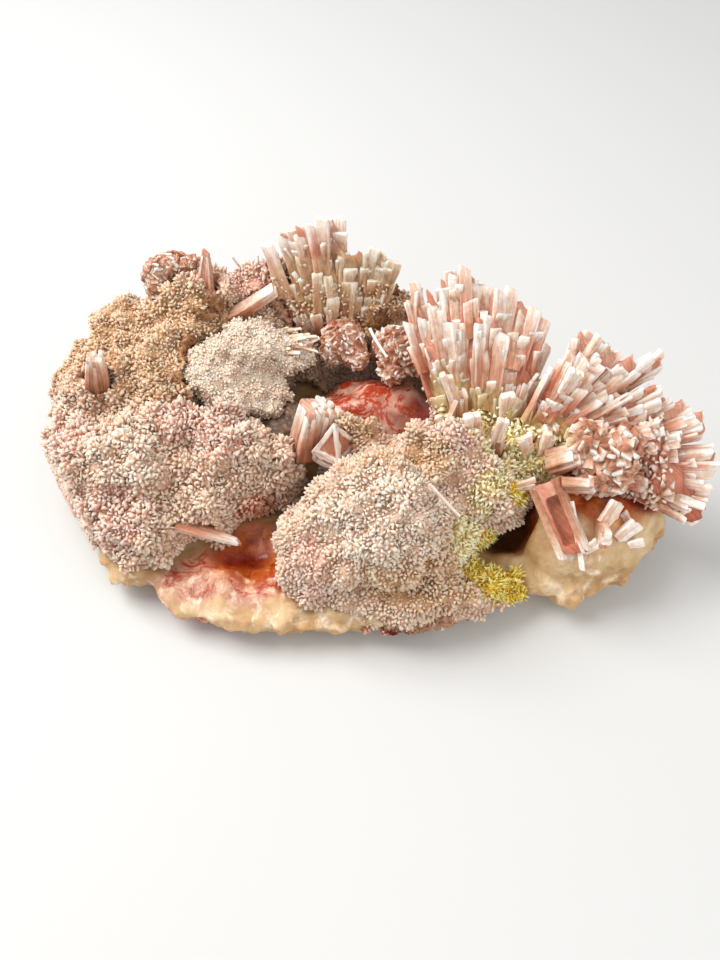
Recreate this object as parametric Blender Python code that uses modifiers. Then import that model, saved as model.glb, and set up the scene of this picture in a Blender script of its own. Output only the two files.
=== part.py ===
"""Stilbite and mordenite specimen, as a Blender scene of separate named pieces.

A slab of translucent chalcedony carries two lobed crusts of mordenite, four sheaves of stilbite
blades, a plate of druse, and single crystals between them. All sizes are in millimetres until they
reach a mesh, which is in metres. +X runs to the right of the front view, +Y away from the viewer and +Z
up, and the origin is under the middle of the specimen, on the surface that it rests on.
"""

import math
import random

import bmesh
import bpy
from mathutils import Matrix, Vector, noise

MM = 0.001

# Driving sizes of the whole specimen: the slab's thickness, how far its foot draws in and up to
# what height, how much is sliced off below, and from where to where a crust is trimmed
SLAB_TOP = 13.0
FOOT_INSET = 0.80
UNDERCUT_HEIGHT = 11.0
FOOT_CUT = 0.9
CRUST_FOOT = 7.0
CRUST_CEILING = 90.0

# The clearance that lets touching pieces stay separate solids
GAP = 0.5

# Grid sizes of the solids, and how many triangles each is brought down to
SLAB_VOXEL = 1.7
CRUST_VOXEL = 1.9
SMALL_VOXEL = 1.2
HEART_VOXEL = 2.2
SLAB_FACES = 1050
LEFT_CRUST_FACES = 1740
RIGHT_CRUST_FACES = 1200
HEART_FACES = 50

# The slab's rim seen from above, x and y, from the left corner round the front
SLAB_RIM = (
    (-99, 0), (-85, -20), (-73, -41), (-68, -43), (-61, -41), (-59, -47), (-53, -53),
    (-45, -55.5), (-28, -58), (-4, -58), (18, -55), (36, -51), (38, -46), (42, -43),
    (47, -41.5), (51, -46), (56, -44), (60, -50), (64, -45), (69, -43), (74, -39),
    (80, -35), (86, -28), (91, -20), (88, -4), (80, 10), (68, 20), (52, 31), (32, 42),
    (12, 51), (-12, 56), (-38, 58), (-60, 58), (-77, 55), (-90, 44), (-98, 22),
)

# Swellings of the slab: centre and half sizes. The red dome and its right flank, the amber
# dome and its flank, the brown patch under the white plate, the front lip and its buds.
SLAB_SWELLS = (
    ((4, 12, 15), (24, 14, 20)),
    ((22, 6, 12), (15, 13, 17)),
    ((63, -30, 13), (20, 15, 19)),
    ((78, -20, 14), (12, 14, 15)),
    ((-22, 4, 16), (16, 13, 20)),
    ((-44, -44, 8), (13, 9, 9)),
    ((-30, -49, 7), (12, 7, 8)),
    ((-68, -35, 8), (10, 8, 8)),
    ((50, -32, 10), (9, 11, 9)),
)

# Hollows in the slab: the amber window at the front left and the brown one at the right
SLAB_HOLLOWS = (
    ((-31, -33, 21), (13, 13, 11)),
    ((42, -27, 22), (9, 10, 13)),
)

# Lobes of the left crust: the big hill at the back, the ridge behind it, the lobe at the
# front left and the mounds beside the hollow. Centre and half sizes.
LEFT_LOBES = (
    ((-62, 22, 18), (33, 30, 30)),
    ((-80, 16, 20), (19, 26, 23)),
    ((-72, 37, 22), (20, 18, 25)),
    ((-50, 41, 26), (20, 16, 32)),
    ((-30, 43, 27), (18, 13, 33.5)),
    ((-12, 42, 27), (18, 12, 31)),
    ((5, 38, 24), (16, 12, 31)),
    ((19, 33, 20), (12, 11, 26)),
    ((-44, 14, 16), (14, 18, 18)),
    ((-72, -14, 20), (24, 20, 25)),
    ((-84, -6, 18), (15, 15, 18)),
    ((-64, -30, 17), (15, 12, 15)),
    ((-56, -6, 24), (13, 10, 22)),
    ((-39, -4, 22), (12, 9, 25)),
    ((-37, -14, 25), (15, 10, 20)),
    ((-24, -15, 26), (11, 8, 15)),
    ((-47, -23, 18), (13, 10, 15)),
)

# Lobes of the right crust: the mound at the front, the ridge on its right shoulder, the
# tan knob behind it, the yellow rim and the mossy ground that the sheaves stand in
RIGHT_LOBES = (
    ((6, -33, 18), (26, 21, 33)),
    ((-9, -37, 16), (18, 17, 24)),
    ((14, -46, 10), (22, 12.5, 15)),
    ((-16, -48, 10), (7, 6, 10)),
    ((22, -18, 25), (19, 12, 28)),
    ((-2, -9, 24), (11, 9, 22)),
    ((34, -26, 27), (13, 9, 16)),
    ((31, -6, 24), (17, 11, 21)),
    ((48, -10, 23), (20, 12, 21)),
    ((62, -12, 22), (14, 11, 18)),
    ((38, -43, 9), (12, 7, 9)),
    ((44, 13, 20), (18, 12, 19)),
    ((66, 3, 20), (16, 13, 17)),
)

# The ground that each crust covers, seen from above. They meet along one border.
CRUST_BORDER = ((-24, -58), (-26, -30), (-17, -14), (-18, 8), (28, 20), (40, 40))
LEFT_GROUND = (
    (35, 60), (-80, 62), (-103, 46), (-103, 10), (-99.5, -1), (-86, -22), (-74, -42), (-58, -46),
    (-40, -50),
)
RIGHT_GROUND = ((-8, -59), (18, -57), (38, -52), (52, -47), (80, -30), (95, -15), (80, 30))

# Small masses made as the crusts are, with their lumps: the white plate of druse that leans
# over the brown patch, two pink shells over the red dome, the knob above the amber dome and
# the curled crystal on the hill.
SMALL_MASSES = (
    ("druse_plate", "druse", 220, 4.0, 1.1, (
        ((-45, 15, 41), (11, 11, 5)), ((-34, 21, 44), (13, 10, 6)), ((-24, 20, 41), (11, 8, 4.5)),
        ((-39, 8, 37), (12, 9, 5.5)), ((-30, 8, 35), (9, 8, 5)),
    )),
    ("pink_shell_left", "stilbite", 90, 4.5, 1.4, (
        ((-6, 28, 41), (7, 7, 6)), ((-10, 25, 38), (4.5, 5, 5)), ((-2, 23, 38), (4.5, 6, 5)),
    )),
    ("pink_shell_right", "stilbite", 130, 4.5, 1.4, (
        ((10, 23, 42), (7, 7, 6)), ((15, 20, 40), (6, 6, 6)), ((9, 17, 38), (5, 6, 5)),
    )),
    ("pink_knob", "stilbite", 150, 5.0, 1.6, (
        ((66, -21, 38), (8, 7, 10)), ((62, -17, 44), (6, 6, 6)), ((71, -19, 43), (6, 6, 6)),
        ((65, -25, 36), (6, 5, 6)), ((71, -24, 38), (5, 5, 7)),
    )),
    ("stilbite_hook", "stilbite", 90, 5.0, 0.8, (
        ((-64, 45, 47), (6, 5, 12)), ((-60, 46, 55), (7, 4, 4)),
        ((-54, 46, 55), (4, 3.5, 3.5)),
    )),
)

# Cell size and depth of the knobs that cover a crust, and the height and width of the slab's waves
KNOB_SIZE = 7.0
KNOB_DEPTH = 2.6
SLAB_ROUGHNESS = 0.9
SLAB_WAVE = 6.0

# A sheaf blade's foot is this share of its full width, a single crystal's is the next, and a
# blade's end slants by this share of its length
FOOT_SHARE = 0.62
CRYSTAL_FOOT_SHARE = 0.85
END_SLANT = 0.09

# Sheaves of stilbite: name, the point that the blades spread from, the share of the way to it
# that a blade reaches down, the lumps of the heart that joins them, the blades' thickness, and
# for each blade its tip and its width
SHEAVES = (
    ("stilbite_sheaf_middle", (33, -22, 8), 0.52, (((33, -4, 33), (14, 8, 9)),), 2.6, (
        (14, 23, 68, 2.8), (18, 20, 69, 2.6), (22, 21, 72, 2.6), (25, 21, 74, 2.8), (28, 20, 75, 2.8),
        (31, 20, 73, 2.6), (35, 18, 71, 3.4), (38, 15, 72, 2.8), (41, 16, 71, 3.2), (45, 15, 68, 2.8),
        (48, 12, 66, 3.2), (51, 11, 63, 2.8), (14, 20, 64, 4.4), (13, 16, 58, 2.8), (20, 13, 66, 3.8),
        (23, 11, 65, 3.6), (33, 11, 66, 4.4), (46, 11, 62, 4.0), (52, 8, 58, 2.8), (27, 10, 61, 3.2),
        (39, 9, 63, 3.2), (30, 9, 58, 3.6), (35, 8, 58, 4.4), (41, 6, 55, 3.4), (47, 3, 52, 3.8),
        (19, 9, 57, 3.8), (25, 2, 50, 3.4), (35, 2, 48, 3.2), (41, 2, 48, 3.4), (45, -2, 45, 3.4),
    )),
    ("stilbite_sheaf_right", (45, -13, 33), 0.7, (((56, -9, 39), (12, 7, 7)),), 2.8, (
        (61, 4, 66, 4.0), (65, 2, 66, 2.8), (68, 0, 65, 3.4), (59, 0, 62, 4.4), (63, -3, 61, 4.6),
        (70, -1, 62, 4.0), (75, -2, 62, 4.2), (79, -1, 60, 3.6), (84, 1, 58, 4.6), (82, -6, 54, 4.2),
        (85, -8, 51, 3.6), (54, -1, 56, 4.4), (54, -7, 50, 5.4), (64, -5, 54, 3.8), (69, -7, 52, 4.6),
        (75, -7, 52, 4.0), (79, -10, 49, 4.2),
    )),
    ("stilbite_sheaf_low", (60, -17, 34), 0.6, (
        ((80, -15, 38), (9, 6, 7)), ((84, -22, 32), (8, 7, 7)),
    ), 3.4, (
        (91, -7, 48, 4.8), (96, -9, 46, 4.4), (97, -12, 43, 5.2), (90, -15, 43, 5.0), (83, -14, 47, 4.0),
        (100, -18, 38, 4.4), (100, -21, 36, 4.2), (99, -25, 31, 2.8), (97, -29, 28, 3.8),
        (96, -32, 26, 3.8),
    )),
    ("stilbite_sheaf_back", (-8, 24, 6), 0.42, (((-9, 37, 44), (17, 6, 8)),), 3.0, (
        (-29, 41, 66, 2.4), (-23, 43, 70, 5.0), (-19, 41, 74, 3.2), (-15, 41, 74, 3.8),
        (-12, 41, 75, 2.8), (-8, 42, 75, 4.6), (-4, 38, 66, 5.4), (0, 39, 66, 3.4), (5, 39, 66, 5.6),
        (9, 38, 62, 3.6), (-18, 39, 64, 4.2), (-10, 36, 60, 3.8), (-4, 36, 58, 4.0),
    )),
)

# Single crystals: name, foot, direction, turn about it in degrees, length, width, thickness
# and the tip's share of the width
CRYSTALS = (
    ("stilbite_block", (-16, -9, 30), (0.22, 0.12, 1.0), 25, 19, 13, 9, 0.8),
    ("stilbite_point", (-8, -12, 28), (0.0, -0.26, 1.0), 8, 23, 13, 10, 0.16),
    ("stilbite_chip_tan", (4, 27, 34), (0.25, -0.2, 1.0), 20, 13, 5, 4.5, 0.8),
    ("stilbite_horn", (-49, 33, 45.5), (0.07, 0.58, 0.82), 0, 20.5, 10, 4.5, 0.25),
    ("stilbite_almond", (-80, 9, 36), (0.12, 0.05, 1.0), 8, 15, 9, 5.5, 0.5),
    ("stilbite_spar", (-41, 34, 44), (0.80, 0.0, 0.60), 10, 18.2, 4.2, 3.6, 0.8),
    ("stilbite_leaf", (-53, -30.5, 24), (0.95, -0.26, -0.17), 80, 20, 7, 1.8, 0.3),
    ("stilbite_chip_pink", (28, -4, 35), (-0.08, 0.12, 1.0), 8, 14, 6.0, 4.4, 0.8),
    ("stilbite_chip_fan", (31, -15, 35), (-0.12, -0.05, 1.0), 14, 12, 6.2, 4.0, 1.15),
    ("stilbite_chip_thin", (38, -15, 35), (-0.08, -0.05, 1.0), -30, 12, 3.6, 3.4, 0.8),
    ("stilbite_chip_right", (50, -13, 36), (0.30, 0.0, 1.0), 20, 10, 4.4, 3.4, 0.9),
    ("stilbite_chunk_white", (53, -19, 37), (0.75, -0.2, 0.62), 12, 10, 7.5, 6.5, 0.9),
    ("stilbite_frame", (50, -27, 38), (0.36, -0.72, -0.52), 0, 22, 8.5, 6.0, 1.0),
    ("stilbite_chip_frame", (54, -29, 40), (0.95, -0.1, 0.05), 10, 9, 4.4, 3.6, 0.8),
    ("stilbite_chip_dome", (66, -33, 29), (-0.06, -0.86, 0.30), 70, 11, 4.4, 3.0, 1.2),
)

# The channel along the frame-like crystal: its two edges from the middle, depth and end sill
FRAME_CHANNEL = (-2.9, 0.9, 3.4, 1.8)

# Base colour and roughness of each mineral
COLOURS = {
    "chalcedony": ((0.80, 0.60, 0.38, 1.0), 0.35),
    "mordenite": ((0.80, 0.62, 0.50, 1.0), 0.85),
    "druse": ((0.82, 0.72, 0.60, 1.0), 0.60),
    "stilbite": ((0.88, 0.72, 0.65, 1.0), 0.45),
}


def clear_scene():
    """Removes what the file starts with."""
    for obj in list(bpy.data.objects):
        bpy.data.objects.remove(obj, do_unlink=True)


def give_material(obj, kind):
    """Gives a piece a plain material of its own, with its mineral's colour and roughness."""
    colour, roughness = COLOURS[kind]
    made = bpy.data.materials.new(obj.name)
    made.use_nodes = True
    shader = made.node_tree.nodes["Principled BSDF"]
    shader.inputs["Base Color"].default_value = colour
    shader.inputs["Roughness"].default_value = roughness
    shader.inputs["Metallic"].default_value = 0.0
    obj.data.materials.append(made)


def new_object(name, bm, collection):
    """An object that holds a bmesh, which is then freed."""
    mesh = bpy.data.meshes.new(name)
    bm.to_mesh(mesh)
    bm.free()
    obj = bpy.data.objects.new(name, mesh)
    collection.objects.link(obj)
    return obj


def apply_modifiers(obj):
    """Makes the evaluated mesh the object's own."""
    graph = bpy.context.evaluated_depsgraph_get()
    graph.update()
    old = obj.data
    obj.data = bpy.data.meshes.new_from_object(obj.evaluated_get(graph))
    obj.modifiers.clear()
    bpy.data.meshes.remove(old)


def add_ellipsoid(bm, centre, halves, detail=3):
    """One smooth lump in a bmesh."""
    sizes = Matrix.Diagonal((*(Vector(halves) * MM), 1.0))
    place = Matrix.Translation(Vector(centre) * MM) @ sizes
    bmesh.ops.create_icosphere(bm, subdivisions=detail, radius=1.0, matrix=place)


def voxel_skin(obj, size):
    """Turns overlapping shells into one closed skin."""
    skin = obj.modifiers.new("skin", "REMESH")
    skin.mode = "VOXEL"
    skin.voxel_size = size * MM
    apply_modifiers(obj)


def smooth(obj, times):
    """Rounds the steps that the voxels leave."""
    ease = obj.modifiers.new("ease", "SMOOTH")
    ease.factor = 0.5
    ease.iterations = times
    apply_modifiers(obj)


def bring_down(obj, faces):
    """Collapses edges until about that many triangles are left."""
    bm = bmesh.new()
    bm.from_mesh(obj.data)
    bmesh.ops.triangulate(bm, faces=bm.faces)
    count = len(bm.faces)
    bm.to_mesh(obj.data)
    bm.free()
    if count > faces:
        fewer = obj.modifiers.new("fewer", "DECIMATE")
        fewer.ratio = faces / count
        apply_modifiers(obj)


def move_along_normals(obj, distance):
    """Moves each vertex along its normal by distance(place), in millimetres."""
    mesh = obj.data
    moved = [v.co + v.normal * distance(v.co / MM) * MM for v in mesh.vertices]
    for vertex, place in zip(mesh.vertices, moved):
        vertex.co = place
    mesh.update()


def knobs(size, depth):
    """Round knobs with creases between them, as a distance along the normal."""

    def distance(place):
        nearest, _ = noise.voronoi(place / size)
        swell = noise.noise(place / (size * 3.1))
        return depth * (0.75 - 1.5 * nearest[0]) + depth * 0.7 * swell

    return distance


def lumps_object(name, lumps, voxel, collection):
    """One skin round a list of ellipsoids."""
    bm = bmesh.new()
    for centre, halves in lumps:
        add_ellipsoid(bm, centre, halves)
    obj = new_object(name, bm, collection)
    voxel_skin(obj, voxel)
    return obj


def boolean(obj, other, operation, solver="EXACT"):
    """Cuts or joins two solids and applies the result."""
    step = obj.modifiers.new(operation.lower(), "BOOLEAN")
    step.operation = operation
    step.solver = solver
    step.object = other
    apply_modifiers(obj)


def largest_body(obj):
    """Deletes the crumbs that a cut leaves beside the piece."""
    bm = bmesh.new()
    bm.from_mesh(obj.data)
    unseen = set(bm.faces)
    bodies = []
    while unseen:
        body, edge_of_it = set(), [unseen.pop()]
        while edge_of_it:
            face = edge_of_it.pop()
            body.add(face)
            near = {f for e in face.edges for f in e.link_faces if f in unseen}
            unseen -= near
            edge_of_it.extend(near)
        bodies.append(body)
    biggest = max(bodies, key=len)
    crumbs = [face for body in bodies if body is not biggest for face in body]
    bmesh.ops.delete(bm, geom=crumbs, context="FACES")
    bm.to_mesh(obj.data)
    bm.free()


def box_of(obj):
    """Lowest and highest corner of a mesh."""
    places = [v.co for v in obj.data.vertices]
    low = [min(p[i] for p in places) for i in range(3)]
    high = [max(p[i] for p in places) for i in range(3)]
    return low, high


def boxes_meet(a, b):
    """Whether two objects come within one gap of each other's box."""
    (low_a, high_a), (low_b, high_b) = box_of(a), box_of(b)
    near = 2 * GAP * MM
    return all(low_a[i] < high_b[i] + near and low_b[i] < high_a[i] + near for i in range(3))


def grown_copy(obj, collection, wrapped, clearance):
    """A copy that stands proud of the piece, to cut its neighbours with. Wrapped, it is the
    piece's convex hull, which makes a plain socket for a piece that stands in a crust."""
    copy = obj.copy()
    copy.data = obj.data.copy()
    copy.name = obj.name + "_grown"
    collection.objects.link(copy)
    if wrapped:
        bm = bmesh.new()
        for vertex in obj.data.vertices:
            bm.verts.new(vertex.co)
        bmesh.ops.convex_hull(bm, input=bm.verts)
        inner = [v for v in bm.verts if not v.link_faces]
        bmesh.ops.delete(bm, geom=inner, context="VERTS")
        bmesh.ops.recalc_face_normals(bm, faces=bm.faces)
        bm.to_mesh(copy.data)
        bm.free()
    move_along_normals(copy, lambda place: clearance)
    copy.hide_render = True
    copy.display_type = "WIRE"
    return copy


def clear_of(obj, neighbours, cutters, sockets=()):
    """Cuts a piece back from every neighbour that it would run into. The MANIFOLD solver
    does this, because EXACT leaves open edges where knobs meet in a crease. A rugged neighbour
    cuts twice, grown and as it is, because the grown copy can fold over in a crease."""
    for other in neighbours:
        if not boxes_meet(obj, other):
            continue
        wrapped = other.name in sockets
        for clearance in (GAP,) if wrapped else (GAP, 0.0):
            cutter = grown_copy(other, cutters, wrapped, clearance)
            boolean(obj, cutter, "DIFFERENCE", "MANIFOLD")
            bpy.data.objects.remove(cutter, do_unlink=True)
    largest_body(obj)


def rim_slab(collection):
    """The slab before its hollows: its rim as a flat outline, drawn up to the slab's top."""
    curve = bpy.data.curves.new("rim", "CURVE")
    curve.dimensions = "2D"
    curve.fill_mode = "BOTH"
    curve.extrude = SLAB_TOP / 2 * MM
    line = curve.splines.new("POLY")
    line.points.add(len(SLAB_RIM) - 1)
    for point, (x, y) in zip(line.points, SLAB_RIM):
        point.co = (x * MM, y * MM, 0, 1)
    line.use_cyclic_u = True
    outline = bpy.data.objects.new("rim", curve)
    outline.location.z = SLAB_TOP / 2 * MM
    collection.objects.link(outline)
    bpy.context.view_layer.update()
    graph = bpy.context.evaluated_depsgraph_get()
    mesh = bpy.data.meshes.new_from_object(outline.evaluated_get(graph))
    mesh.transform(outline.matrix_world)
    bpy.data.objects.remove(outline, do_unlink=True)
    return mesh


def chalcedony_slab(parts, cutters):
    """The matrix: rim, swellings and hollows in one skin, undercut, on a flat foot."""
    bm = bmesh.new()
    rim = rim_slab(cutters)
    bm.from_mesh(rim)
    bpy.data.meshes.remove(rim)
    bmesh.ops.remove_doubles(bm, verts=bm.verts, dist=1e-6)
    for centre, halves in SLAB_SWELLS:
        add_ellipsoid(bm, centre, halves)
    slab = new_object("chalcedony_matrix", bm, parts)
    voxel_skin(slab, SLAB_VOXEL)
    hollows = lumps_object("hollows", SLAB_HOLLOWS, SLAB_VOXEL, cutters)
    boolean(slab, hollows, "DIFFERENCE")
    bpy.data.objects.remove(hollows, do_unlink=True)
    voxel_skin(slab, SLAB_VOXEL)
    smooth(slab, 4)
    move_along_normals(slab, lambda place: SLAB_ROUGHNESS * noise.noise(place / SLAB_WAVE))
    for vertex in slab.data.vertices:
        height = vertex.co.z / MM
        if height < UNDERCUT_HEIGHT:
            share = max(0.0, height) / UNDERCUT_HEIGHT
            narrow = FOOT_INSET + (1 - FOOT_INSET) * math.sin(share * math.pi / 2)
            vertex.co.x *= narrow
            vertex.co.y *= narrow
    bring_down(slab, SLAB_FACES)
    flat_foot(slab, FOOT_CUT)
    give_material(slab, "chalcedony")
    return slab


def flat_foot(obj, height):
    """Slices the piece level at a height and lowers it, so that it rests on a flat face."""
    bm = bmesh.new()
    bm.from_mesh(obj.data)
    everything = bm.verts[:] + bm.edges[:] + bm.faces[:]
    cut = bmesh.ops.bisect_plane(
        bm, geom=everything, plane_co=(0, 0, height * MM), plane_no=(0, 0, -1), clear_outer=True
    )
    rim = [e for e in cut["geom_cut"] if isinstance(e, bmesh.types.BMEdge)]
    bmesh.ops.edgeloop_fill(bm, edges=rim)
    bmesh.ops.translate(bm, verts=bm.verts, vec=(0, 0, -height * MM))
    bmesh.ops.triangulate(bm, faces=bm.faces)
    bmesh.ops.recalc_face_normals(bm, faces=bm.faces)
    bm.to_mesh(obj.data)
    bm.free()


def ground_block(name, outline, cutters):
    """A block over the ground that a crust covers, to trim the crust with."""
    bm = bmesh.new()
    corners = [bm.verts.new((x * MM, y * MM, CRUST_FOOT * MM)) for x, y in outline]
    face = bm.faces.new(corners)
    drawn = bmesh.ops.extrude_face_region(bm, geom=[face])["geom"]
    top = [g for g in drawn if isinstance(g, bmesh.types.BMVert)]
    bmesh.ops.translate(bm, verts=top, vec=(0, 0, (CRUST_CEILING - CRUST_FOOT) * MM))
    bmesh.ops.recalc_face_normals(bm, faces=bm.faces)
    return new_object(name, bm, cutters)


def crust(name, lobes, faces, outline, neighbours, sockets, parts, cutters):
    """A mordenite crust: lobes in one skin, covered with knobs, trimmed to its own ground and
    cut clear of what stands in it."""
    obj = lumps_object(name, lobes, CRUST_VOXEL, parts)
    smooth(obj, 2)
    move_along_normals(obj, knobs(KNOB_SIZE, KNOB_DEPTH))
    voxel_skin(obj, CRUST_VOXEL)
    ground = ground_block(name + "_ground", outline, cutters)
    boolean(obj, ground, "INTERSECT", "MANIFOLD")
    bpy.data.objects.remove(ground, do_unlink=True)
    bring_down(obj, faces)
    clear_of(obj, neighbours, cutters, sockets)
    give_material(obj, "mordenite")


def small_mass(name, kind, faces, knob, depth, lumps, parts):
    """A small knobbly mass."""
    obj = lumps_object(name, lumps, SMALL_VOXEL, parts)
    move_along_normals(obj, knobs(knob, depth))
    voxel_skin(obj, SMALL_VOXEL)
    bring_down(obj, faces)
    give_material(obj, kind)
    return obj


def blade_place(foot, direction, turn):
    """Where a blade stands: its length along the direction, its width across the view."""
    axis = Vector(direction).normalized()
    across = axis.cross(Vector((0, -1, 0)))
    across = (across if across.length > 0.05 else Vector((1, 0, 0))).normalized()
    frame = Matrix((across, axis.cross(across), axis)).transposed().to_4x4()
    return Matrix.Translation(Vector(foot)) @ frame @ Matrix.Rotation(math.radians(turn), 4, "Z")


def box_object(name, collection, place, low, high):
    """A box between two corners, in millimetres, set in place."""
    bm = bmesh.new()
    bmesh.ops.create_cube(bm, size=1.0)
    for vertex in bm.verts:
        vertex.co = [high[i] if vertex.co[i] > 0 else low[i] for i in range(3)]
    bmesh.ops.transform(bm, matrix=Matrix.Scale(MM, 4) @ place, verts=bm.verts)
    bmesh.ops.recalc_face_normals(bm, faces=bm.faces)
    return new_object(name, bm, collection)


def blade_object(name, collection, place, length, width, thickness, tip=1.0, start=FOOT_SHARE):
    """One tabular crystal: it widens from its foot, and its end is cut at a slant."""
    bm = bmesh.new()
    bmesh.ops.create_cube(bm, size=1.0)
    for vertex in bm.verts:
        top = vertex.co.z > 0
        slant = END_SLANT * length if vertex.co.x > 0 else 0.0
        vertex.co.x *= width * (tip if top else start)
        vertex.co.y *= thickness * (0.8 if top else 1.0)
        vertex.co.z = length - slant if top else 0.0
    bmesh.ops.transform(bm, matrix=Matrix.Scale(MM, 4) @ place, verts=bm.verts)
    bmesh.ops.recalc_face_normals(bm, faces=bm.faces)
    return new_object(name, bm, collection)


def sheaf(name, apex, reach, heart_lumps, thickness, blades, seed, parts, cutters):
    """A sheaf of blades that spread from one point, joined by its heart into one solid."""
    draw = random.Random(seed)
    heart = lumps_object(name, heart_lumps, HEART_VOXEL, parts)
    bring_down(heart, HEART_FACES)
    for x, y, z, width in blades:
        tip = Vector((x, y, z))
        way = (tip - Vector(apex)) * reach
        place = blade_place(tip - way, way, draw.uniform(-35, 35))
        blade = blade_object("blade", cutters, place, way.length, width, thickness)
        boolean(heart, blade, "UNION")
        bpy.data.objects.remove(blade, do_unlink=True)
    largest_body(heart)
    give_material(heart, "stilbite")
    return heart


def single_crystals(parts, cutters):
    """The crystals that stand by themselves. One is a frame, with a channel along its face."""
    made = []
    for name, foot, direction, turn, length, width, thickness, tip in CRYSTALS:
        place = blade_place(foot, direction, turn)
        size = (length, width, thickness)
        crystal = blade_object(name, parts, place, *size, tip, CRYSTAL_FOOT_SHARE)
        if name == "stilbite_frame":
            one_edge, other_edge, deep, sill = FRAME_CHANNEL
            low = (one_edge, -thickness, length * 0.2)
            high = (other_edge, deep - thickness / 2, length - sill - END_SLANT * length)
            channel = box_object("channel", cutters, place, low, high)
            boolean(crystal, channel, "DIFFERENCE")
            bpy.data.objects.remove(channel, do_unlink=True)
        give_material(crystal, "stilbite")
        made.append(crystal)
    return made


def build():
    """Makes every piece, then cuts each back from those made before it."""
    clear_scene()
    scene = bpy.context.scene.collection
    parts = bpy.data.collections.new("stilbite_and_mordenite_specimen")
    cutters = bpy.data.collections.new("cutters")
    scene.children.link(parts)
    scene.children.link(cutters)
    kept = [chalcedony_slab(parts, cutters)]
    crystals = [sheaf(*row, seed, parts, cutters) for seed, row in enumerate(SHEAVES, 11)]
    crystals += [small_mass(*row, parts) for row in SMALL_MASSES]
    crystals += single_crystals(parts, cutters)
    for piece in crystals:
        clear_of(piece, kept, cutters)
        kept.append(piece)
    sockets = {piece.name for piece in crystals}
    left_ground = [(x - GAP, y) for x, y in CRUST_BORDER] + list(LEFT_GROUND)
    right_ground = [(x + GAP, y) for x, y in reversed(CRUST_BORDER)] + list(RIGHT_GROUND)
    for name, lobes, faces, ground in (
        ("mordenite_crust_left", LEFT_LOBES, LEFT_CRUST_FACES, left_ground),
        ("mordenite_crust_right", RIGHT_LOBES, RIGHT_CRUST_FACES, right_ground),
    ):
        crust(name, lobes, faces, ground, kept, sockets, parts, cutters)


build()
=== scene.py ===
"""Stilbite and mordenite specimen: the visual model, laid out as an add-on and run as a script.

A slab of amber and cream chalcedony carries granular crusts of mordenite, made of many blunt
prongs, and sheaves of white to salmon stilbite blades. Places and sizes in the tables are in
millimetres, in the solids' own frame: +X right, +Y away from the viewer, +Z up.
"""

import math
import random
from collections import namedtuple

import bmesh
import bpy
import numpy as np
from bpy.props import FloatProperty, FloatVectorProperty, PointerProperty
from mathutils import Matrix, Vector, kdtree, noise
from mathutils.bvhtree import BVHTree


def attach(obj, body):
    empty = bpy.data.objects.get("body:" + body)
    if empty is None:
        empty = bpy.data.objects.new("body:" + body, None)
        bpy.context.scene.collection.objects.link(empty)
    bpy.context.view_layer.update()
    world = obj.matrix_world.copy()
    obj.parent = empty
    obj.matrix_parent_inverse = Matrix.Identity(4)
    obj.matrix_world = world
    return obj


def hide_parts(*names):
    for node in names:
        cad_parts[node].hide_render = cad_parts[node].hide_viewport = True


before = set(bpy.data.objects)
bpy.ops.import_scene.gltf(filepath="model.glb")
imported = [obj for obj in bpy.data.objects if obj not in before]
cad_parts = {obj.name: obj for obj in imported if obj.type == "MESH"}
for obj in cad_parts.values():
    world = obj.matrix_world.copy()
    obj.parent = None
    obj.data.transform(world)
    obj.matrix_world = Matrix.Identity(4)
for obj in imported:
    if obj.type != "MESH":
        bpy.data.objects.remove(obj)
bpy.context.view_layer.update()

bl_info = {
    "name": "Stilbite and mordenite specimen",
    "version": (1, 0, 0),
    "blender": (4, 5, 0),
    "location": "View3D > Sidebar > Specimen",
    "description": "Builds a mineral specimen of stilbite blades and mordenite crusts on chalcedony",
    "category": "Add Mesh",
}

MM = 0.001

# Sizes and places are in millimetres from here on, shares are of 1 and angles in degrees

# A crust's ground: its faces, its lumps, creases and grain, how far it is drawn in, and how high
# the lumps are on each side
GROUND_VOXEL = 1.25
GROUND_LUMPS = 7.0
GROUND_CREASES = 3.2
GROUND_GRAIN = 1.6
GROUND_SINK = 0.5
LEFT_LUMPS = 5.0
RIGHT_LUMPS = 3.4

# Where a crust's fields meet: in front of the hill, right of the lobe and behind the brow
HILL_EDGE = 6
LOBE_EDGE = -60
BROW_EDGE = -34

# Prongs: how far apart, how uneven, how deep their roots, and the size of clumps and pits
PRONG_SPACING = 0.88
PRONG_UNEVEN = 0.26
PRONG_ROOT = 0.7
CLUMP_SIZE = 2.6
PIT_SIZE = 4.2
COAT_VOXEL = 1.1
COAT_PATCH = 2.5
COAT_LEAN = 0.45

# How much room there has to be in front of a prong, a fine grain, a plate and a flake
CRUST_REACH = 1.3
SMALL_REACH = 0.8
PLATE_REACH = 0.6
FLAKE_REACH = 1.2

# Faces of the slab and of the skins that carry blades, flakes and grains
SLAB_VOXEL = 1.15
SHEAF_VOXEL = 0.8
SHINGLE_VOXEL = 1.2
CRYSTAL_VOXEL = 0.55
FRAME_VOXEL = 0.5
SMALL_VOXEL = 0.7
DRUSE_VOXEL = 0.8
SKIN_SINK = 0.25

# Lamellae: how wide and deep in a sheaf, a crystal and a chip, and how they narrow to their foot
LATH_WIDTH = 2.7
LATH_DEPTH = 3.2
CRYSTAL_LATH_WIDTH = 1.7
CHIP_LATH_WIDTH = 1.8
CHIP_ROOT = 1.6
FOOT_SHARE = 0.62
CRYSTAL_FOOT_SHARE = 0.85
END_SLANT = 0.05
SHARP_ANGLE = 28.0

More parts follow.
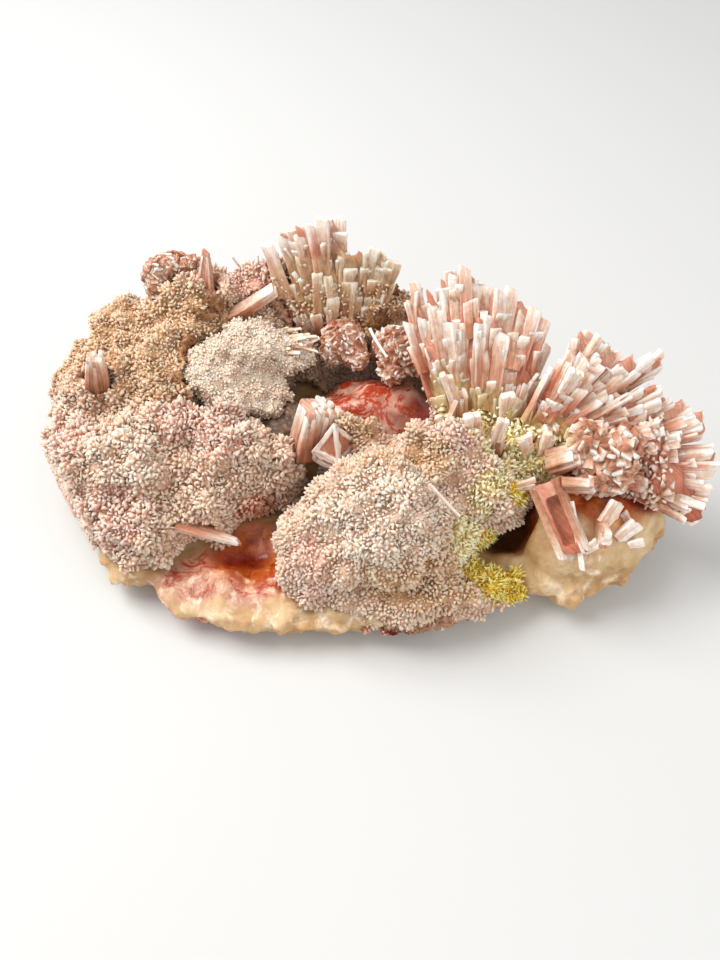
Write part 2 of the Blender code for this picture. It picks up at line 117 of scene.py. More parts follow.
# Seeds of the random draws. Crystals and masses count on from theirs, and a sheaf has its own
CRUST_SEEDS = {"left": 21, "right": 22}
CRYSTAL_SEED = 40
FRAME_SEED = 70
MASS_SEED = 80
DRUSE_SEED = 90
ROD_SEED = 95

CAMERA_AIM = (-1.0, -16.0, 25.0)
CAMERA_DISTANCE = 275.0
CAMERA_ELEVATION = 52.0
CAMERA_LENS = 35.0
CAMERA_SENSOR = 36.0
SKY_STRENGTH = 0.66
FLOOR_SIZE = 4000.0

# Area lights: name, place, side in metres and power in watts
LAMPS = (("key", (-420, 120, 620), 0.5, 7.0), ("fill", (380, -420, 420), 0.8, 2.5))

# Sheaves: solid, point that the blades spread from, share of the way to it that a blade reaches
# down, blades' thickness, seed, and for each blade its tip and its width
SHEAVES = (
    ("stilbite_sheaf_middle", (33, -22, 8), 0.52, 2.6, 11, (
        (14, 23, 68, 2.8), (18, 20, 69, 2.6), (22, 21, 72, 2.6), (25, 21, 74, 2.8), (28, 20, 75, 2.8),
        (31, 20, 73, 2.6), (35, 18, 71, 3.4), (38, 15, 72, 2.8), (41, 16, 71, 3.2), (45, 15, 68, 2.8),
        (48, 12, 66, 3.2), (51, 11, 63, 2.8), (14, 20, 64, 4.4), (13, 16, 58, 2.8), (20, 13, 66, 3.8),
        (23, 11, 65, 3.6), (33, 11, 66, 4.4), (46, 11, 62, 4.0), (52, 8, 58, 2.8), (27, 10, 61, 3.2),
        (39, 9, 63, 3.2), (30, 9, 58, 3.6), (35, 8, 58, 4.4), (41, 6, 55, 3.4), (47, 3, 52, 3.8),
        (19, 9, 57, 3.8), (25, 2, 50, 3.4), (35, 2, 48, 3.2), (41, 2, 48, 3.4), (45, -2, 45, 3.4),
    )),
    ("stilbite_sheaf_right", (45, -13, 33), 0.7, 2.8, 12, (
        (61, 4, 66, 4.0), (65, 2, 66, 2.8), (68, 0, 65, 3.4), (59, 0, 62, 4.4), (63, -3, 61, 4.6),
        (70, -1, 62, 4.0), (75, -2, 62, 4.2), (79, -1, 60, 3.6), (84, 1, 58, 4.6), (82, -6, 54, 4.2),
        (85, -8, 51, 3.6), (54, -1, 56, 4.4), (54, -7, 50, 5.4), (64, -5, 54, 3.8), (69, -7, 52, 4.6),
        (75, -7, 52, 4.0), (79, -10, 49, 4.2),
    )),
    ("stilbite_sheaf_low", (60, -17, 34), 0.6, 3.4, 13, (
        (91, -7, 48, 4.8), (96, -9, 46, 4.4), (97, -12, 43, 5.2), (90, -15, 43, 5.0),
        (83, -14, 47, 4.0), (100, -18, 38, 4.4), (100, -21, 36, 4.2), (99, -25, 31, 2.8),
        (97, -29, 28, 3.8), (96, -32, 26, 3.8),
    )),
    ("stilbite_sheaf_back", (-8, 24, 6), 0.42, 3.0, 14, (
        (-29, 41, 66, 2.4), (-23, 43, 70, 5.0), (-19, 41, 74, 3.2), (-15, 41, 74, 3.8),
        (-12, 41, 75, 2.8), (-8, 42, 75, 4.6), (-4, 38, 66, 5.4), (0, 39, 66, 3.4), (5, 39, 66, 5.6),
        (9, 38, 62, 3.6), (-18, 39, 64, 4.2), (-10, 36, 60, 3.8), (-4, 36, 58, 4.0),
    )),
)

# Single crystals: solid, foot, direction, turn in degrees, length, width, thickness, tip's share
# of the width, and how strongly salmon it is
CRYSTALS = (
    ("stilbite_block", (-16, -9, 30), (0.22, 0.12, 1.0), 25, 19, 13, 9, 0.8, 0.45),
    ("stilbite_chip_tan", (4, 27, 34), (0.25, -0.2, 1.0), 20, 13, 5, 4.5, 0.8, 0.2),
    ("stilbite_horn", (-49, 33, 45.5), (0.07, 0.58, 0.82), 0, 20.5, 10, 4.5, 0.25, 0.6),
    ("stilbite_almond", (-80, 9, 36), (0.12, 0.05, 1.0), 8, 15, 9, 5.5, 0.5, 0.1),
    ("stilbite_spar", (-41, 34, 44), (0.80, 0.0, 0.60), 10, 18.2, 4.2, 3.6, 0.8, 0.1),
    ("stilbite_leaf", (-53, -30.5, 24), (0.95, -0.26, -0.17), 80, 20, 7, 1.8, 0.3, 0.4),
    ("stilbite_chip_pink", (28, -4, 35), (-0.08, 0.12, 1.0), 8, 14, 6.0, 4.4, 0.8, 0.3),
    ("stilbite_chip_fan", (31, -15, 35), (-0.12, -0.05, 1.0), 14, 12, 6.2, 4.0, 1.15, 0.1),
    ("stilbite_chip_thin", (38, -15, 35), (-0.08, -0.05, 1.0), -30, 12, 3.6, 3.4, 0.8, 0.4),
    ("stilbite_chip_right", (50, -13, 36), (0.30, 0.0, 1.0), 20, 10, 4.4, 3.4, 0.9, 0.3),
    ("stilbite_chunk_white", (53, -19, 37), (0.75, -0.2, 0.62), 12, 10, 7.5, 6.5, 0.9, 0.0),
    ("stilbite_chip_frame", (54, -29, 40), (0.95, -0.1, 0.05), 10, 9, 4.4, 3.6, 0.8, 0.1),
    ("stilbite_chip_dome", (66, -33, 29), (-0.06, -0.86, 0.30), 70, 11, 4.4, 3, 1.2, 0.3),
)

# The house-like crystal: foot, direction, how much it is stretched and its turn, and the heights
# of wall and roof and the tip's share of the width before it is stretched
POINT_CRYSTAL = ((-8, -12, 31), (0.0, -0.2, 1.0), (6.8, 6.0, 10.5))
POINT_TURN = 12.0
HOUSE_WALL = 0.55
HOUSE_ROOF = 1.25
HOUSE_TIP = 0.08

# The crystal with a channel: foot, direction and length, and the middle, width and depth of each
# of its two walls
FRAME_CRYSTAL = ((50, -27, 38), (0.36, -0.72, -0.52), 22)
FRAME_WALLS = ((-3.6, 1.7, 6.0), (3.0, 2.0, 6.0))

# Small knobbly masses: solid, spacing, width, thickness and length of the flakes, and how
# strongly salmon it is
MASSES = (
    ("pink_shell_left", 1.12, 1.9, 0.7, 2.6, 0.42),
    ("pink_shell_right", 1.12, 1.9, 0.7, 2.8, 0.42),
    ("pink_knob", 1.6, 3.0, 1.4, 4.2, 0.2),
    ("stilbite_hook", 1.15, 2.4, 0.9, 1.7, 0.1),
)

# Where the colours lie, as balls or ellipsoids: centre and radius or half sizes
MOSS = (
    ((34, -10, 42), (18, 14, 16)), ((50, -16, 38), (17, 13, 14)), ((44, 8, 40), (22, 11, 14)),
    ((60, -2, 38), (18, 12, 14)), ((24, -2, 46), (10, 10, 10)), ((34, -26, 34), (9, 9, 10)),
    ((28, -38, 24), (8, 9, 14)),
)
GOLD = (((40, -43, 14), (18, 8, 12)), ((33, -32, 18), (7, 8, 9)), ((46, -28, 36), (7, 6, 8)))
PINK = (
    ((-45, -8, 44), (20, 18, 12)), ((-88, -12, 34), (16, 18, 18)), ((-30, 44, 54), (18, 12, 14)),
    ((26, -16, 50), (12, 10, 10)), ((-14, -44, 22), (10, 12, 14)), ((5, 40, 50), (14, 10, 12)),
    ((-72, -30, 26), (18, 12, 14)), ((70, 6, 38), (14, 9, 14)), ((-96, 22, 26), (10, 20, 20)),
    ((80, -16, 36), (16, 14, 14)),
)
TAN = (
    ((-62, 22, 44), (34, 28, 22)), ((-2, 34, 50), (24, 12, 14)), ((-4, -8, 42), (11, 9, 10)),
    ((10, -28, 48), (20, 14, 10)), ((18, -46, 26), (26, 16, 22)), ((-90, 30, 30), (14, 22, 20)),
)
RUST = (
    ((-30, -24, 20), (11, 8, 8)), ((4, -58, 6), (16, 4, 6)),
    ((-28, 20, 30), (10, 8, 10)), ((62, -20, 34), (7, 6, 7)), ((90, -18, 28), (12, 9, 7)),
)
PALE = (((5, -40, 40), (24, 18, 20)), ((-64, -20, 44), (18, 14, 12)), ((-30, -10, 48), (12, 12, 10)))
BLADES_TAN = (((-8, 38, 54), (30, 14, 16)), ((10, 38, 60), (12, 10, 14)), ((60, -16, 32), (8, 7, 9)))
# The straight broken edge at the left: the way it faces, seen from above, and how far out it is
CUT_WAY = (-0.849, -0.528)
CUT_REACH = 84.7

SLAB_AMBER = (
    ((-31, -34, 15), (23, 19, 18)), ((65, -25, 25), (23, 16, 20)), ((44, -26, 16), (13, 13, 16)),
)
SLAB_RED = (
    ((-40, -36, 7), (19, 10, 9)),
    ((24, 7, 26), (20, 15, 17)), ((80, -21, 26), (13, 11, 12)),
    ((-24, -26, 18), (9, 10, 12)), ((6, 24, 30), (22, 8, 12)),
)
SLAB_BROWN = (((40, -25, 14), (13, 12, 14)), ((46, -20, 22), (8, 8, 10)))
SLAB_WINDOW = (((-21, 3, 30), (15, 12, 13)),)
SLAB_GLOSSY = (((4, 12, 26), (28, 17, 20)), ((63, -30, 24), (22, 18, 18)), ((-31, -33, 14), (15, 15, 14)))
SLAB_VEINED = (((2, 11, 28), (27, 16, 18)), ((-38, -42, 6), (32, 15, 13)))
SLAB_SUGARY = (
    ((-20, -54, 6), (60, 8, 10)), ((-74, -38, 8), (16, 10, 10)), ((66, -46, 12), (26, 8, 14)),
    ((88, -26, 14), (10, 16, 12)), ((-20, 56, 8), (70, 12, 12)), ((88, 0, 10), (12, 30, 12)),
)

# Thin rods: start, end and radius
RODS = (
    ((2, 25, 47), (7, 16, 44), 0.55), ((17, -37, 50), (25, -42, 43), 0.5),
    ((25, -13, 56), (22, -17, 48), 0.6), ((57, -32, 36), (60, -47, 25), 0.8),
    ((-26, 44, 55), (-22, 41, 62), 0.35), ((-33, 46, 53), (-32, 43, 60), 0.3),
    ((-38, 46, 53), (-40, 44, 59), 0.35), ((-20, 42, 54), (-17, 40, 60), 0.35),
)

# Small chips set on whatever lies under them: place seen from above, the way they point, and
# length, width and thickness
FRAGMENTS = (
    ((30, -15), (-0.1, -0.1, 1.0), (9.0, 4.4, 2.6)),
    ((37, -17), (0.15, 0.0, 1.0), (8.5, 3.2, 2.2)),
    ((51, -16), (0.2, 0.1, 1.0), (8.0, 3.6, 2.4)),
    ((46, -16), (-0.3, 0.0, 1.0), (7.0, 4.0, 2.2)),
    ((44, -26), (1.0, 0.1, 0.25), (6.5, 3.2, 1.8)),
    ((25, -4), (-0.35, 0.3, 1.0), (9.0, 3.6, 2.6)),
    ((41, -4), (0.0, 0.1, 1.0), (9.0, 4.2, 2.8)),
    ((56, -6), (0.3, 0.0, 1.0), (9.0, 4.6, 2.8)),
    ((67, -35), (0.6, 0.7, 0.5), (7.5, 4.2, 2.0)),
    ((72, -37), (0.8, 0.5, 0.4), (8.0, 4.4, 1.8)),
    ((75, -33), (-0.5, 0.8, 0.4), (6.0, 3.0, 1.8)),
    ((62, -42), (0.9, 0.4, 0.3), (5.5, 3.2, 1.6)),
    ((75, -38), (1.0, 0.1, 0.2), (5.5, 2.4, 1.4)),
    ((70, -32), (0.3, 0.9, 0.5), (5.5, 2.6, 1.6)),
)

# The druse plate: how far apart its grains are, and how many thin tips stand at its right edge,
# about which place
DRUSE_SPACING = 0.68
DRUSE_TIPS = 34
DRUSE_TIPS_PLACE = (-25.0, 22.0, 44.0)

# Prongs that coat the foot of other solids: name, solid, the sides that bound them, their width
# and length against the crusts' own, their spacing and the seed. A side is an axis, the way along
# it that the coat lies, where it ends and how gently it thins out
COATS = (
    ("back", "stilbite_sheaf_back", ((2, -1, 60, 8),), 0.9, 1.0, 1.2, 31),
    ("middle", "stilbite_sheaf_middle", ((2, -1, 46, 8),), 0.9, 1.1, 1.2, 32),
    ("right", "stilbite_sheaf_right", ((2, -1, 47, 8),), 0.9, 1.1, 1.2, 33),
    ("low", "stilbite_sheaf_low", ((0, -1, 87, 6),), 1.3, 1.2, 1.3, 35),
    ("rim", "chalcedony_matrix", ((1, -1, -51, 3), (0, 1, -4, 8), (2, 1, 1.5, 3)), 1.0, 0.9, 1.0, 34),
)

Template = namedtuple("Template", "points loops counts")
Spots = namedtuple("Spots", "places ups values")


def deselect_all():
    """Leaves nothing selected, in object mode."""
    if bpy.context.mode != "OBJECT":
        bpy.ops.object.mode_set(mode="OBJECT")
    bpy.ops.object.select_all(action="DESELECT")


def select_only(obj):
    """Makes a piece the only selected one, and the active one."""
    deselect_all()
    obj.select_set(True)
    bpy.context.view_layer.objects.active = obj


def select_where(obj, kind, test):
    """Selects, in edit mode, the faces or the edges that pass a test."""
    bpy.ops.mesh.select_all(action="DESELECT")
    bpy.ops.mesh.select_mode(type=kind)
    shape = bmesh.from_edit_mesh(obj.data)
    for one in shape.faces if kind == "FACE" else shape.edges:
        one.select_set(test(one))
    bmesh.update_edit_mesh(obj.data)


def apply_modifier(obj, kind, **settings):
    """Adds a modifier with its settings and applies it."""
    select_only(obj)
    step = obj.modifiers.new("step", kind)
    for key, value in settings.items():
        setattr(step, key, value)
    bpy.ops.object.modifier_apply(modifier=step.name)


def relief(obj, kind, size, height, middle=0.5):
    """Raises a surface by a texture of that grain size and height."""
    pattern = bpy.data.textures.new("relief", kind)
    pattern.noise_scale = size * MM
    apply_modifier(
        obj, "DISPLACE", texture=pattern, texture_coords="LOCAL", strength=height * MM,
        mid_level=middle,
    )
    bpy.data.textures.remove(pattern)


def coordinates(mesh):
    """The vertices' places as an array, in metres."""
    found = np.empty(len(mesh.vertices) * 3, np.float32)
    mesh.vertices.foreach_get("co", found)
    return found.reshape(-1, 3)


def set_coordinates(mesh, places):
    """Moves the vertices to places in metres."""
    mesh.vertices.foreach_set("co", np.ascontiguousarray(places, np.float32).ravel())
    mesh.update()


def vertex_normals(mesh):
    """The vertices' normals as an array."""
    found = np.empty(len(mesh.vertices) * 3, np.float32)
    mesh.vertex_normals.foreach_get("vector", found)
    return found.reshape(-1, 3)


def set_values(mesh, name, values):
    """Stores one number for each vertex, for the materials to read."""
    store = mesh.attributes.get(name) or mesh.attributes.new(name, "FLOAT", "POINT")
    store.data.foreach_set("value", np.asarray(values, np.float32))


def values_of(mesh, name):
    """Reads a number stored for each vertex."""
    found = np.empty(len(mesh.vertices), np.float32)
    mesh.attributes[name].data.foreach_get("value", found)
    return found


def set_strip(mesh, strip):
    """Stores where each vertex lies across and along its blade in the UV map, for the grooves."""
    layer = mesh.uv_layers.get("UVMap") or mesh.uv_layers.new(name="UVMap")
    corners = np.empty(len(mesh.loops), np.int32)
    mesh.loops.foreach_get("vertex_index", corners)
    layer.data.foreach_set("uv", strip[corners].astype(np.float32).ravel())


def even(distance):
    """A spacing that is the same at all places."""
    return lambda places: np.full(len(places), distance)


def waves(places, size):
    """Smooth noise at places in metres, from about -1 to 1, with waves of that size."""
    return np.array([noise.noise(Vector(place) / (size * MM)) for place in places])


def roughen(obj, weights, size, height):
    """Moves a surface along its normals by noise, as far as its weights let it."""
    places = coordinates(obj.data)
    moved = waves(places, size) * height * MM * weights
    set_coordinates(obj.data, places + vertex_normals(obj.data) * moved[:, None])


def region(places, lumps, soft=0.4):
    """How far places in metres lie inside any lump of a list: 1 deep inside, 0 at the edge."""
    share = np.zeros(len(places))
    for centre, halves in lumps:
        away = np.linalg.norm((places / MM - np.array(centre)) / np.array(halves), axis=1)
        share = np.maximum(share, np.clip((1.0 - away) / soft, 0.0, 1.0))
    return share * share * (3.0 - 2.0 * share)


def take_template(obj):
    """Reads a shaped primitive as a template, and removes it."""
    deselect_all()
    mesh = obj.data
    points = coordinates(mesh).astype(float)
    loops = np.array([index for face in mesh.polygons for index in face.vertices])
    counts = np.array([len(face.vertices) for face in mesh.polygons])
    bpy.data.objects.remove(obj, do_unlink=True)
    bpy.data.meshes.remove(mesh)
    return Template(points, loops, counts)


def prong_template():
    """A stubby prong, one unit high: a three-sided column that draws in to a blunt tip."""
    deselect_all()
    bpy.ops.mesh.primitive_cylinder_add(vertices=3, radius=1.2, depth=0.62, location=(0, 0, 0.31))
    prong = bpy.context.active_object
    bpy.ops.object.mode_set(mode="EDIT")
    select_where(prong, "FACE", lambda face: face.normal.z > 0.9)
    bpy.ops.mesh.extrude_region_move(TRANSFORM_OT_translate={"value": (0, 0, 0.38)})
    bpy.ops.transform.resize(value=(0.5, 0.5, 1.0))
    bpy.ops.object.mode_set(mode="OBJECT")
    bpy.ops.object.transform_apply(location=True, rotation=True, scale=True)
    return take_template(prong)


def spike_template():
    """A fine pointed needle, one unit high, with three sides."""
    deselect_all()
    bpy.ops.mesh.primitive_cylinder_add(vertices=3, radius=1.0, depth=0.6, location=(0, 0, 0.3))
    spike = bpy.context.active_object
    bpy.ops.object.mode_set(mode="EDIT")
    select_where(spike, "FACE", lambda face: face.normal.z > 0.9)
    bpy.ops.transform.resize(value=(0.75, 0.75, 1.0))
    bpy.ops.mesh.poke(offset=0.4)
    bpy.ops.object.mode_set(mode="OBJECT")
    bpy.ops.object.transform_apply(location=True, rotation=True, scale=True)
    return take_template(spike)


def lath_template():
    """One lamella of a blade, one unit wide, deep and high, its edges bevelled and its end
    drawn in like a chisel."""
    deselect_all()
    bpy.ops.mesh.primitive_cube_add(size=1.0, location=(0, 0, 0.5))
    lath = bpy.context.active_object
    bpy.ops.object.mode_set(mode="EDIT")
    select_where(lath, "EDGE", lambda edge: abs(edge.verts[0].co.z - edge.verts[1].co.z) > 0.5)
    bpy.ops.mesh.bevel(offset=0.17, segments=1, affect="EDGES")
    for height in (-0.3, -0.05, 0.2, 0.4):
        bpy.ops.mesh.select_all(action="SELECT")
        bpy.ops.mesh.bisect(plane_co=(0, 0, height + 0.5), plane_no=(0, 0, 1))
    select_where(lath, "FACE", lambda face: face.normal.z > 0.9)
    bpy.ops.mesh.inset(thickness=0.08, depth=0.0)
    bpy.ops.transform.translate(value=(0, 0, 0.03))
    bpy.ops.object.mode_set(mode="OBJECT")
    bpy.ops.object.transform_apply(location=True, rotation=True, scale=True)
    return take_template(lath)


def mesh_object(name, points, loops, counts):
    """A new piece from arrays of points, corners and corners for each face."""
    mesh = bpy.data.meshes.new(name)
    mesh.vertices.add(len(points))
    mesh.vertices.foreach_set("co", np.ascontiguousarray(points, np.float32).ravel())
    mesh.loops.add(len(loops))
    mesh.loops.foreach_set("vertex_index", np.ascontiguousarray(loops, np.int32))
    mesh.polygons.add(len(counts))
    starts = np.concatenate([[0], np.cumsum(counts)[:-1]])
    mesh.polygons.foreach_set("loop_start", starts.astype(np.int32))
    mesh.update(calc_edges=True)
    mesh.validate()
    made = bpy.data.objects.new(name, mesh)
    bpy.context.scene.collection.objects.link(made)
    return made


def copies(name, template, frames, feet, sizes, flare, values, draw, uneven=0.12):
    """One mesh of many copies of a template. frames holds each copy's three axes, feet its place,
    sizes its scale, all in metres, and flare how much it widens upwards. Each vertex keeps its
    height on its copy, as tip, and each copy's values."""
    local = template.points[None] * sizes[:, None, :]
    widen = 1.0 + flare[:, None] * template.points[None, :, 2]
    local[:, :, :2] *= widen[:, :, None]
    local += draw.uniform(-uneven, uneven, local.shape) * sizes[:, None, :2].min(axis=2)[..., None]
    points = np.einsum("nij,ntj->nti", frames, local) + feet[:, None, :]
    number, each = len(feet), len(template.points)
    offsets = np.arange(number)[:, None] * each
    loops = (template.loops[None] + offsets).ravel()
    made = mesh_object(name, points.reshape(-1, 3), loops, np.tile(template.counts, number))
    low, high = template.points[:, 2].min(), template.points[:, 2].max()
    height = (template.points[:, 2] - low) / (high - low)
    set_values(made.data, "tip", np.tile(height, number))
    for key, found in values.items():
        set_values(made.data, key, np.repeat(found, each))
    return made


def axes_from(directions, draw):
    """For each direction a frame of three axes, turned at random about it."""
    count = len(directions)
    other = draw.normal(size=(count, 3))
    side = np.cross(directions, other)
    side /= np.linalg.norm(side, axis=1, keepdims=True)
    third = np.cross(directions, side)
    return np.stack([side, third, directions], axis=2)


def tilted(ups, amount, draw):
    """Directions turned a little away from the surface's own."""
    turned = ups + draw.normal(size=ups.shape) * amount
    return turned / np.linalg.norm(turned, axis=1, keepdims=True)


def skin_copy(node, name, voxel):
    """A new piece with a copy of a solid's mesh, merged, and skinned with small even faces."""
    made = bpy.data.objects.new(name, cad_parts[node].data.copy())
    bpy.context.scene.collection.objects.link(made)
    made.data.materials.clear()
    select_only(made)
    bpy.ops.object.mode_set(mode="EDIT")
    bpy.ops.mesh.select_all(action="SELECT")
    bpy.ops.mesh.remove_doubles(threshold=1e-6)
    bpy.ops.object.mode_set(mode="OBJECT")
    apply_modifier(made, "REMESH", mode="VOXEL", voxel_size=voxel * MM)
    return made


def sink(obj, depth):
    """Draws a surface in by a depth."""
    apply_modifier(obj, "DISPLACE", strength=-depth * MM, mid_level=0.0)


def knob_values(obj):
    """How far each vertex stands out of the smoothed surface, from -1 in a crease to 1. The crusts use it
    for painted shade, darker in the creases.
    """
    smoothed = obj.copy()
    smoothed.data = obj.data.copy()
    bpy.context.scene.collection.objects.link(smoothed)
    apply_modifier(smoothed, "SMOOTH", factor=0.5, iterations=25)
    away = coordinates(obj.data) - coordinates(smoothed.data)
    out = (away * vertex_normals(obj.data)).sum(axis=1)
    bpy.data.objects.remove(smoothed, do_unlink=True)
    return np.clip(out / (1.2 * MM), -1.0, 1.0)


def solids_tree(left_out=()):
    """A search tree of the solids that prongs must stay clear of."""
    points, faces = [], []
    for name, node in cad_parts.items():
        if name in left_out:
            continue
        start = len(points)
        points.extend(v.co.copy() for v in node.data.vertices)
        faces.extend([start + i for i in face.vertices] for face in node.data.polygons)
    return BVHTree.FromPolygons(points, faces)


def scatter(obj, spacing, values, tree, reach, draw):
    """Places spread evenly over a surface, spacing(places) apart, with the surface's direction and
    values there. Where a solid stands nearer than a prong's reach, there is none."""
    mesh = obj.data
    mesh.calc_loop_triangles()
    corners = np.empty(len(mesh.loop_triangles) * 3, np.int32)
    mesh.loop_triangles.foreach_get("vertices", corners)
    corners = corners.reshape(-1, 3)
    points, ups = coordinates(mesh), vertex_normals(mesh)
    a, b, c = (points[corners[:, i]] for i in range(3))
    areas = np.linalg.norm(np.cross(b - a, c - a), axis=1)
    least = spacing(points[::50]).min() * MM
    count = int(areas.sum() / 2 / least**2 * 3.2)
    pick = draw.choice(len(areas), count, p=areas / areas.sum())
    u, v = draw.random((2, count))
    over = u + v > 1.0
    u[over], v[over] = 1.0 - u[over], 1.0 - v[over]
    weights = np.stack([1.0 - u - v, u, v], axis=1)[:, :, None]
    places = (points[corners[pick]] * weights).sum(axis=1)
    ways = (ups[corners[pick]] * weights).sum(axis=1)
    ways /= np.linalg.norm(ways, axis=1, keepdims=True)
    radii = spacing(places) * MM
    near = kdtree.KDTree(count)
    for index, place in enumerate(places):
        near.insert(place, index)
    near.balance()
    free = np.ones(count, bool)
    kept = []
    for index in range(count):
        if not free[index]:
            continue
        for _, other, _ in near.find_range(places[index], radii[index]):
            free[other] = False
        blocked = tree.ray_cast(Vector(places[index]), Vector(ways[index]), reach * MM)[0]
        if blocked is None:
            kept.append(index)
    if not kept:
        raise RuntimeError("Nothing can stand on " + obj.name)
    kept = np.array(kept)
    found = {
        key: (np.asarray(one)[corners[pick[kept]]] * weights[kept, :, 0]).sum(axis=1)
        for key, one in values.items()
    }
    return Spots(places[kept], ways[kept], found)


def join(name, *pieces):
    """Joins pieces into the first one."""
    select_only(pieces[0])
    for piece in pieces[1:]:
        piece.select_set(True)
    bpy.ops.object.join()
    pieces[0].name = name
    return pieces[0]


def sharpen(obj):
    """Marks the edges between a piece's flat faces as sharp."""
    select_only(obj)
    bpy.ops.object.mode_set(mode="EDIT")
    bpy.ops.mesh.select_mode(type="EDGE")
    bpy.ops.mesh.select_all(action="DESELECT")
    bpy.ops.mesh.edges_select_sharp(sharpness=math.radians(SHARP_ANGLE))
    bpy.ops.mesh.mark_sharp()
    bpy.ops.object.mode_set(mode="OBJECT")


def finish_piece(obj, slot, *nodes):
    """Gives a piece the material of its slot and its body, and lets it stand for its solids."""
    select_only(obj)
    bpy.ops.object.shade_smooth()
    obj.data.materials.clear()
    obj.data.materials.append(paint(slot))
    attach(obj, "root")
    if nodes:
        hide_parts(*nodes)
    deselect_all()


def linear(hex_colour):
    """An sRGB hex colour as the linear colour that shaders take."""
    parts = [int(hex_colour[i : i + 2], 16) / 255 for i in (1, 3, 5)]
    straight = [c / 12.92 if c <= 0.04045 else ((c + 0.055) / 1.055) ** 2.4 for c in parts]
    return (*straight, 1.0)


def add(tree, kind, inputs=None, stops=(), **settings):
    """Adds a node with its settings, its ramp's stops, and its inputs' values or links."""
    node = tree.nodes.new(kind)
    for key, value in settings.items():
        setattr(node, key, value)
    for index, (place, colour) in enumerate(stops):
        if index < 2:
            stop = node.color_ramp.elements[index]
            stop.position = place
        else:
            stop = node.color_ramp.elements.new(place)
        stop.color = linear(colour) if isinstance(colour, str) else tuple(colour)
    for key, value in (inputs or {}).items():
        if isinstance(value, bpy.types.NodeSocket):
            tree.links.new(value, node.inputs[key])
        elif node.inputs[key].type == "RGBA" and len(value) == 4:
            node.inputs[key].default_value = tuple(value)
        else:
            node.inputs[key].default_value = value
    return node


def new_material(name, **sockets):
    """A material with one Principled shader, whose plain values are set on its own sockets."""
    made = bpy.data.materials.new(name)
    made.use_nodes = True
    shader = made.node_tree.nodes["Principled BSDF"]
    for key, value in sockets.items():
        shader.inputs[key.replace("_", " ")].default_value = value
    return made, made.node_tree, shader


def evenly(*colours):
    """Places colours evenly along a ramp, its two ends first."""
    stops = [(index / (len(colours) - 1), colour) for index, colour in enumerate(colours)]
    return [stops[0], stops[-1], *stops[1:-1]]


def ragged(tree, share, grain, low, high):
    """A share whose edge is broken up by a grain, as a stain's edge is."""
    moved = add(tree, "ShaderNodeMath", {0: grain, 1: 0.5}, operation="SUBTRACT").outputs[0]
    total = add(tree, "ShaderNodeMath", {0: moved, 1: 1.1, 2: share}, operation="MULTIPLY_ADD")
    return add(tree, "ShaderNodeMapRange", {0: total.outputs[0], 1: low, 2: high}).outputs[0]


def layered(tree, colour, stored, grains, shades, layers):
    """Lays colours over each other. A layer has the name of the share where it lies, the grain
    that breaks up its edge, the range over which it comes in, and its colours by their shade. One
    with no grain lies everywhere."""
    for key, grain, low, high, colours in layers:
        layer = add(tree, "ShaderNodeValToRGB", {0: shades[grain]}, stops=evenly(*colours))
        share = ragged(tree, stored[key], grains[grain], low, high) if grain else 1.0
        colour = add(
            tree, "ShaderNodeMix", {0: share, 6: colour, 7: layer.outputs[0]}, data_type="RGBA"
        ).outputs[2]
    return colour


